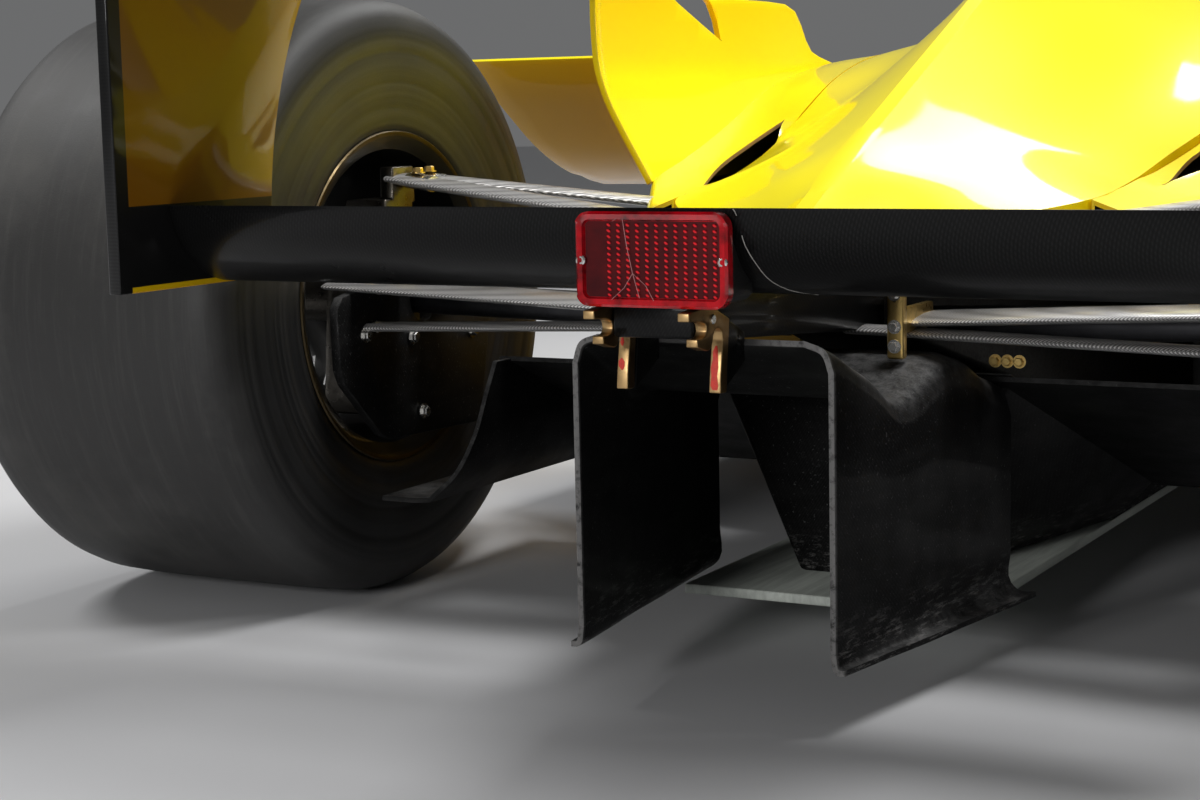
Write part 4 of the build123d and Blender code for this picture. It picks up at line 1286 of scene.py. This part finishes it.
def buildArms(rows, ends):
    pieces = []
    for sign in (1, -1):
        for start, end, chord, depth in rows:
            first = rearPoint(sign * start[0], *start[1:])
            last = rearPoint(sign * end[0], *end[1:])
            pieces.append(streamlinedArm(first, last, chord * mm, depth * mm, materials["arm_carbon"]))
            # A machined end on each arm, with a bolt through it
            axis = (last - first).normalized()
            tip = last - axis * ends["gap"] * mm
            pieces.append(streamlinedArm(tip - axis * ends["length"] * mm, tip,
                                         chord * ends["chord"] * mm, depth * ends["depth"] * mm,
                                         extraMaterials["brightMetal"]))
            seat = tip - axis * ends["boltBack"] * mm + Vector((0, 0, depth * 0.6 * mm))
            pieces.append(bolt(seat, (0, 0, 1), ends["bolt"] * mm, extraMaterials["goldBolt"]))
    return finishPiece(joinPieces(pieces), "rearArms", "chassis", "arm_carbon",
                       replaced=("rear_wishbones",))


buildArms(rearArms, armEnds)
print("suspension arms")

# Jacking hooks, in millimetres: two claws with eased edges, and a pivot pin through each
hookShape = {
    # The claw's side outline: behind the rear axle, and height
    "outline": [(460, 362.5), (460, 369.6), (440, 371), (421, 371.4), (411, 369.5), (399, 364.5),
                (384, 358.5), (385.5, 345), (388, 329), (389.5, 312), (390.5, 297.6), (395, 297.2),
                (404, 298), (402.5, 313), (399.5, 330), (397.5, 342), (399, 349), (404, 353),
                (410.5, 352.5), (415, 347.5), (417, 341), (421, 336.5), (426, 335.6), (435, 338),
                (445, 340.4), (445, 347), (436, 346.8), (430, 348.2), (427.5, 352), (428.5, 356.5),
                (431, 359.2), (440, 361.2)],
    "shankLine": [(298, 404), (313, 402.5), (330, 399.5), (342, 397.5)],
    "inner": 38.2,
    "outer": 48.7,
    "pin": (417, 361),
    "pinRows": [(-7, 3.6), (-6.5, 4.3), (6.5, 4.3), (7, 3.6)],
    "paint": 0.3,
    # Paint left on the shank's rear face: bottom and top height, and edges across it
    "rightPatch": [(300.5, 0.25, 0.7), (304, 0.15, 0.92), (312, 0.3, 0.85), (319, 0.22, 0.95),
                   (326, 0.3, 0.8), (332, 0.35, 0.85), (337, 0.45, 0.62)],
    "leftPatches": [[(314, 0.45, 0.6), (317, 0.3, 0.9), (321, 0.35, 0.95), (324, 0.6, 0.7)],
                    [(334, 0.6, 0.7), (337, 0.5, 0.9), (341, 0.6, 0.8)]],
}


def shankRear(height, line):
    for (lowZ, lowY), (highZ, highY) in zip(line, line[1:]):
        if height <= highZ or (highZ, highY) == line[-1]:
            return lowY + (highY - lowY) * (height - lowZ) / (highZ - lowZ)


def buildHooks(shape):
    pieces = []
    width = shape["outer"] - shape["inner"]
    for sign in (1, -1):
        near = shape["inner"] if sign > 0 else -shape["outer"]
        claw = panel([rearPoint(near, behind, z) for behind, z in shape["outline"]], (width * mm, 0, 0))
        easeEdges(claw, 1.0, 3, angle=20)
        setMaterial(claw, materials["bronze"], extraMaterials["rubbedBronze"])
        for face in claw.data.polygons:
            face.material_index = int(face.normal.y > 0.5)
        pin = turned(millimetres(shape["pinRows"]), 24)
        setMaterial(pin, extraMaterials["brightMetal"])
        pieces += [claw, pointAlong(pin, rearPoint(near + width / 2, *shape["pin"]), (1, 0, 0))]
        for patch in ([shape["rightPatch"]] if sign < 0 else shape["leftPatches"]):
            rows = [[rearPoint(near + 0.6 + (width - 1.2) * share,
                               shankRear(height, shape["shankLine"]) + shape["paint"] / 2, height)
                     for share in edges] for height, *edges in patch]
            pieces.append(thickSkin(rows, shape["paint"], extraMaterials["redPaint"]))
    return finishPiece(joinPieces(pieces), "quickLiftHooks", "chassis", "bronze",
                       replaced=("jacking_hooks",))


buildHooks(hookShape)
print("hooks")

# Rain lamp, in millimetres
lampShape = {
    "corner": 13,
    "easing": 2.2,
    "frame": 6.5,           # from the lens's edge to its panel
    "sunk": 4.0,
    "columns": 14,
    "plainColumns": 2,      # without prisms, at the lamp's left end
    "rows": 13,
    "prism": 1.6,
    "panelEdge": 8,
    "screw": [(0, 4.6), (1.6, 4.4), (2.4, 3.2), (2.4, 2.0), (1.0, 1.6)],
    "screwFromEdge": 4.5,
    # The crack and its branches: sideways from the lamp's middle, and height above its foot
    "cracks": [[(25, 75), (21, 50), (16, 28), (10, 8)], [(16, 28), (4, 18), (-4, 4)],
               [(16, 28), (24, 16), (36, 6)], [(25, 75), (34, 70)]],
    "crackSize": (0.4, 0.5),
}


def selectMode(mode):
    bpy.ops.object.mode_set(mode="EDIT")
    bpy.ops.mesh.select_mode(type=mode)
    bpy.ops.mesh.select_all(action="DESELECT")
    bpy.ops.object.mode_set(mode="OBJECT")


def buildLens(low, high, shape):
    lens = box(low, high)
    selectMode("EDGE")
    for edge in lens.data.edges:
        first, last = [lens.data.vertices[index].co for index in edge.vertices]
        edge.select = abs(first.y - last.y) > (high.y - low.y) / 2
    bpy.ops.object.mode_set(mode="EDIT")
    bpy.ops.mesh.bevel(offset=shape["corner"] * mm, segments=8)
    selectMode("FACE")
    for face in lens.data.polygons:
        face.select = face.normal.y > 0.9
    bpy.ops.object.mode_set(mode="EDIT")
    easing = shape["easing"]
    bpy.ops.mesh.inset(thickness=easing * mm, depth=0)
    bpy.ops.mesh.inset(thickness=(shape["frame"] - easing) * mm, depth=-0.4 * mm)
    bpy.ops.mesh.inset(thickness=1.2 * mm, depth=-shape["sunk"] * mm)
    bpy.ops.mesh.select_mode(type="VERT")
    bpy.ops.object.mode_set(mode="OBJECT")
    for vertex in lens.data.vertices:
        x, y, z = vertex.co
        inside = min(x - low.x, high.x - x, z - low.z, high.z - z)
        if y > high.y - 0.01 * mm and inside < 0.5 * mm:
            vertex.co.y -= easing * mm
    setMaterial(lens, materials["lamp_red"])
    return lens


def buildPrisms(low, high, shape):    # a grid of points, some of which stand out
    edge = Vector((shape["panelEdge"] * mm, 0, shape["panelEdge"] * mm))
    first, last = low + edge, high - edge
    columns, rows = shape["columns"] * 4, shape["rows"] * 3
    panelY = high.y - (shape["sunk"] + 0.2) * mm
    points = []
    for row in range(rows + 1):
        z = first.z + (last.z - first.z) * row / rows
        line = []
        for column in range(columns + 1):
            x = first.x + (last.x - first.x) * column / columns
            shown = column < (shape["columns"] - shape["plainColumns"]) * 4
            tip = shape["prism"] * mm if shown and row % 3 == 1 and column % 4 == 2 else 0
            line.append(Vector((x, panelY + tip, z)))
        points.append(line)
    prisms = skin(points)
    mark = prisms.data.attributes.new("prism", "FLOAT", "POINT")
    for vertex in prisms.data.vertices:
        mark.data[vertex.index].value = float(vertex.co.y > panelY + 0.5 * mm)
    setMaterial(prisms, extraMaterials["lampPanel"])
    return prisms


def buildLamp(shape):
    low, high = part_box("lamp_lens")
    middle = (low + high) / 2
    pieces = [buildLens(low, high, shape), buildPrisms(low, high, shape)]
    inset = shape["screwFromEdge"] * mm
    for x in (low.x + inset, high.x - inset):
        screw = turned(millimetres(shape["screw"]), 24)
        setMaterial(screw, extraMaterials["brightMetal"])
        pieces.append(pointAlong(screw, (x, high.y - 2.6 * mm, middle.z - mm), (0, 1, 0)))
    for crack in shape["cracks"]:
        line = [Vector((middle.x + x * mm, high.y - 0.6 * mm, low.z + z * mm)) for x, z in crack]
        pieces.append(ribbon(line, *shape["crackSize"], extraMaterials["paleScratch"]))
    return finishPiece(joinPieces(pieces), "rainLampLens", "chassis", "lamp_red",
                       replaced=("lamp_lens",), smoothAngle=25)


buildLamp(lampShape)
print("rain lamp")

# Tub and nose, in millimetres. Columns: distance behind the front axle, then x and height of
# the bottom's edge, the waist and the top's edge, and the size of the rounded corners
tubShape = {
    "rows": [
        (-905, 48, 248, 70, 290, 48, 334, 18),
        (-800, 64, 240, 90, 294, 62, 356, 22),
        (-500, 90, 268, 122, 370, 82, 478, 26),
        (-140, 115, 330, 150, 470, 105, 600, 30),
        (450, 150, 215, 215, 430, 140, 635, 36),
        (950, 215, 120, 300, 400, 235, 625, 40),
        (1640, 250, 107, 330, 400, 290, 610, 30),
    ],
    "alongSteps": 9,
    "runs": [(0, 1, 2), (1, 6, 4), (6, 7, 3)],
    "tip": 14,                       # how far the nose's round tip stands ahead
    "tipRings": [(0.86, 0.6), (0.5, 1.0), (0.0001, 1.0)],    # size and reach of each ring
    "wall": 20,
    "opening": [(110, -2350), (235, -1970), (235, -1620), (-235, -1620), (-235, -1970), (-110, -2350)],
    "openingCorner": 60,
    "openingFloor": 435,
    "pylon": [(-860, 268), (-650, 300), (-690, 118), (-880, 118)],
    "pylonX": 62,
    "pylonWidth": 12,
}


def buildTub(shape):
    sections = []
    for behind, bottomX, bottomZ, waistX, waistZ, topX, topZ, corner in shape["rows"]:
        bottom, waist, top = [Vector((x, 0, z)) for x, z in (
            (bottomX, bottomZ), (waistX, waistZ), (topX, topZ))]
        half = [Vector((0, 0, bottomZ)), bottom - Vector((corner, 0, 0)),
                bottom + (waist - bottom).normalized() * corner,
                waist + (bottom - waist).normalized() * corner, waist + (top - waist).normalized() * corner,
                top + (waist - top).normalized() * corner, top - Vector((corner, 0, 0)),
                Vector((0, 0, topZ))]
        sections.append([frontPoint(point.x, behind, point.z) for point in half])
    rows = smoothRows(sections, shape["alongSteps"], shape["runs"])
    caps = []
    for row, ahead in ((rows[0], shape["tip"]), (rows[-1], 0)):
        middle = Vector((0, row[0].y, (row[0].z + row[-1].z) / 2))
        caps.append([[middle + (point - middle) * share - Vector((0, ahead * mm * reach, 0))
                      for point in row] for share, reach in shape["tipRings"]])
    tub = skin(caps[0][::-1] + rows + caps[1])
    mirrorAcross(tub)
    applyModifiers(tub)
    makeShell(tub, shape["wall"])
    outline = cutCorners([rearPoint(x, behind, shape["openingFloor"]) for x, behind in shape["opening"]],
                         shape["openingCorner"] * mm)
    cutter = panel(outline, (0, 0, 0.4))
    setMaterial(cutter, materials["carbon"])
    cutWith(tub, cutter, material_mode="TRANSFER")
    easeEdges(tub, 3, 3, angle=50)
    pieces = [tub]
    for x in (-shape["pylonX"], shape["pylonX"]):
        half = shape["pylonWidth"] / 2
        pylon = panel([frontPoint(x - half, behind, z) for behind, z in shape["pylon"]],
                      (shape["pylonWidth"] * mm, 0, 0))
        pieces.append(easeEdges(pylon, 4, 3, materials["yellow_paint"], 50))
    return finishPiece(joinPieces(pieces), "tubAndNose", "chassis", "yellow_paint",
                       replaced=("monocoque", "nose"))


buildTub(tubShape)
print("tub and nose")

# Pieces whose CAD form only needs its edges eased and its skin smoothed: width of the bevel
easedPieces = {
    "front_wing": 1.0, "front_wing_flaps": 1.0, "front_end_plates": 1.5, "wing_beam": 0.6,
    "rear_wing": 1.0, "rear_wing_flap": 1.0, "rear_end_plates": 1.5, "mirrors": 6.0,
    "barge_boards": 1.5, "floor": 1.2, "plank": 1.5, "gearbox": 6.0, "crash_structure": 3.0,
    "lamp_housing": 2.5, "hook_fins": 0.8, "drive_shafts": 1.0, "rear_uprights": 3.0,
    "brake_ducts": 2.5, "engine": 12.0, "radiators": 2.0, "track_rods": 0.8,
    "steering_wheel": 3.0, "front_wishbones": 0.8, "front_upright_left": 2.0,
    "front_upright_right": 2.0,
}


# The tops of the rear uprights narrow towards the upper arms, in metres
uprightTaper = {"from": 0.36, "to": 0.44, "inner": 0.534, "outer": 0.62, "share": 0.62}


def taperTop(item, shape):
    for vertex in item.data.vertices:
        share = min(max((vertex.co.z - shape["from"]) / (shape["to"] - shape["from"]), 0), 1)
        if share and abs(vertex.co.x) < shape["outer"]:
            side = math.copysign(1, vertex.co.x)
            keep = 1 - (1 - shape["share"]) * share
            vertex.co.x = side * (shape["inner"] + (abs(vertex.co.x) - shape["inner"]) * keep)
            vertex.co.y = rearAxleY + (vertex.co.y - rearAxleY) * keep


def easeNode(node, width):
    part = [entry for entry in frame["record"]["subparts"] if entry["node"] == node][0]
    source = frame["nodes"][node]
    item = copyOfNode(node)
    if node == "rear_uprights":
        taperTop(item, uprightTaper)
    addModifier(item, "DECIMATE", decimate_type="DISSOLVE", angle_limit=math.radians(0.5))
    bevelEdges(item, width * mm, 2, 42)
    return finishPiece(item, node + "Eased", source["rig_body"], part["material_slot"],
                       replaced=(node,), smoothAngle=32)


for node, width in easedPieces.items():
    easeNode(node, width)
print("eased pieces")

# Small parts that the eye looks for, in millimetres: brackets, bolts and mirror glass
trimShape = {
    # Place across, behind the axle and height, each from low to high, and the rounding
    "brackets": [((96, 112), (138, 150), (300, 372), 2.5, 3), ((100, 108), (58, 140), (322, 346), 2, 2)],
    "bracketBolts": [(104, 150, 312), (104, 150, 330), (104, 150, 360)],
    "rampBolts": [(150, 2, 284), (162, 2, 284), (174, 2, 284)],
    "rearBoltSize": 9,
    "ductBolts": [(504, 27, 289), (504, -96, 284), (504, 10, 205), (504, 118, 300)],
    "ductBoltSize": 12,
    "mirror": {"x": 430, "behind": -2199.6, "z": 640, "halfWidth": 56, "halfHeight": 20,
               "corner": 9, "glass": 0.8},
    "fairingLine": [(-84, 449.5, 453), (-85.2, 448.3, 450.5), (-88.5, 437.5, 423.7),
                    (-92.9, 424.6, 406.8), (-97, 408.7, 393.5), (-106, 390, 384), (-122, 368, 378.6)],
    "lineSize": (0.7, 0.7),
}


def buildTrim(shape):
    pieces = []
    bright, gold = extraMaterials["brightMetal"], extraMaterials["goldBolt"]
    size = shape["rearBoltSize"] * mm
    mirror = shape["mirror"]
    for sign in (1, -1):
        for across, behind, height, easing, segments in shape["brackets"]:
            x = sorted(sign * value for value in across)
            piece = box(rearPoint(x[0], behind[0], height[0]), rearPoint(x[1], behind[1], height[1]))
            pieces.append(easeEdges(piece, easing, segments, gold))
        for places, metal in ((shape["bracketBolts"], bright), (shape["rampBolts"], gold)):
            for x, behind, z in places:
                pieces.append(bolt(rearPoint(sign * x, behind, z), (0, 1, 0), size, metal))
        for x, behind, z in shape["ductBolts"]:
            pieces.append(bolt(rearPoint(sign * x, behind, z), (-sign, 0, 0),
                               shape["ductBoltSize"] * mm, bright))
        outline = [rearPoint(sign * mirror["x"] + a * mirror["halfWidth"], mirror["behind"],
                             mirror["z"] + b * mirror["halfHeight"])
                   for a, b in ((-1, -1), (1, -1), (1, 1), (-1, 1))]
        glass = panel(cutCorners(outline, mirror["corner"] * mm), (0, mirror["glass"] * mm, 0))
        setMaterial(glass, extraMaterials["mirrorGlass"])
        pieces.append(glass)
    # The joint line where the lamp's fairing meets the beam, right of the lamp
    line = smoothLine([rearPoint(*point) for point in shape["fairingLine"]], 5)
    pieces.append(ribbon(line, *shape["lineSize"], extraMaterials["barePale"]))
    return finishPiece(joinPieces(pieces), "smallFittings", "chassis", "bronze", smoothAngle=30)


buildTrim(trimShape)

# Steering wheel switches and display, in millimetres from the wheel's middle
switchShape = {
    "places": [(-70, 28), (-70, -6), (70, 28), (70, -6), (-38, -30), (38, -30), (-30, 40), (30, 40)],
    "colours": ("redPaint", "goldBolt", "brightMetal", "paleScratch"),
    "knob": [(-4, 6.5), (3, 6.5), (4.5, 5)],
    "display": (34, 17),
    "displayDepth": (-2, 1.5),
    "faceReach": 0.06,      # metres from the middle, within which the wheel's face is flat
}


def buildWheelSwitches(shape):
    middle = middleOf("steering_wheel")
    faceY = max(vertex.co.y for vertex in frame["nodes"]["steering_wheel"].data.vertices
                if max(abs(vertex.co.x), abs(vertex.co.z - middle.z)) < shape["faceReach"])
    middle.y = round(faceY, 4)
    pieces = []
    for index, (x, z) in enumerate(shape["places"]):
        knob = turned(millimetres(shape["knob"]), 20)
        setMaterial(knob, extraMaterials[shape["colours"][index % len(shape["colours"])]])
        pieces.append(pointAlong(knob, middle + Vector((x, 0, z)) * mm, (0, 1, 0)))
    x, z = shape["display"]
    low, high = shape["displayDepth"]
    display = box(middle + Vector((-x, low, -z)) * mm, middle + Vector((x, high, z)) * mm)
    pieces.append(easeEdges(display, 1.2, 2, extraMaterials["mirrorGlass"]))
    return finishPiece(joinPieces(pieces), "wheelSwitches", "steering_wheel", "grip")


buildWheelSwitches(switchShape)

# Shoulder belts, in millimetres: behind the rear axle and height along each
beltShape = {
    "x": 62,
    "size": (42, 2.2),      # width and thickness
    "line": [(-1622, 566), (-1642, 556), (-1660, 520), (-1722, 390), (-1800, 224), (-1830, 219)],
    "buckle": ((-27, -1707, 405), (27, -1697, 432)),
}


def buildBelts(shape):
    pieces = []
    for x in (-shape["x"], shape["x"]):
        line = smoothLine([rearPoint(x, behind, z) for behind, z in shape["line"]], 5)
        pieces.append(ribbon(line, *shape["size"], extraMaterials["beltWebbing"]))
        buckle = box(*[rearPoint(x + corner[0], *corner[1:]) for corner in shape["buckle"]])
        pieces.append(easeEdges(buckle, 2, 2, extraMaterials["brightMetal"]))
    return finishPiece(joinPieces(pieces), "shoulderBelts", "chassis", "seat_cloth")


buildBelts(beltShape)
print("fittings, switches and belts")

# Padded pieces: the headrest and the seat swell a little under their covers
softPieces = {
    "headrest": {"edge": 14, "voxel": 6, "shrink": 5, "swell": 8, "slot": "headrest_cover"},
    "seat": {"edge": 5, "voxel": 6, "shrink": 3, "swell": 4, "slot": "seat_cloth"},
}
clothSteps = 20


def padNode(node, shape):
    item = copyOfNode(node)
    bevelEdges(item, shape["edge"] * mm, 4, 30)
    addModifier(item, "REMESH", mode="VOXEL", voxel_size=shape["voxel"] * mm)
    addModifier(item, "DISPLACE", strength=-shape["shrink"] * mm, mid_level=0.0, direction="NORMAL")
    addModifier(item, "SMOOTH", factor=0.5, iterations=4)
    applyModifiers(item)
    setMaterial(item, materials[shape["slot"]])
    before = [vertex.co.copy() for vertex in item.data.vertices]
    cloth = addModifier(item, "CLOTH")
    cloth.settings.use_pressure = True
    cloth.settings.uniform_pressure_force = 4
    cloth.settings.effector_weights.gravity = 0
    for step in range(clothSteps):
        bpy.context.scene.frame_set(step + 1)
    swollen = item.evaluated_get(bpy.context.evaluated_depsgraph_get())
    after = [vertex.co.copy() for vertex in swollen.data.vertices]
    item.modifiers.remove(cloth)
    bpy.context.scene.frame_set(1)
    for vertex, old, new in zip(item.data.vertices, before, after):
        move = new - old
        vertex.co = old + move * min(1, shape["swell"] * mm / max(move.length, tiny))
    addModifier(item, "SUBSURF", levels=1, render_levels=1)
    piece = finishPiece(item, node + "Pad", "chassis", shape["slot"], replaced=(node,),
                        smoothAngle=60)
    return piece


for node, shape in softPieces.items():
    padNode(node, shape)
print("padded pieces")
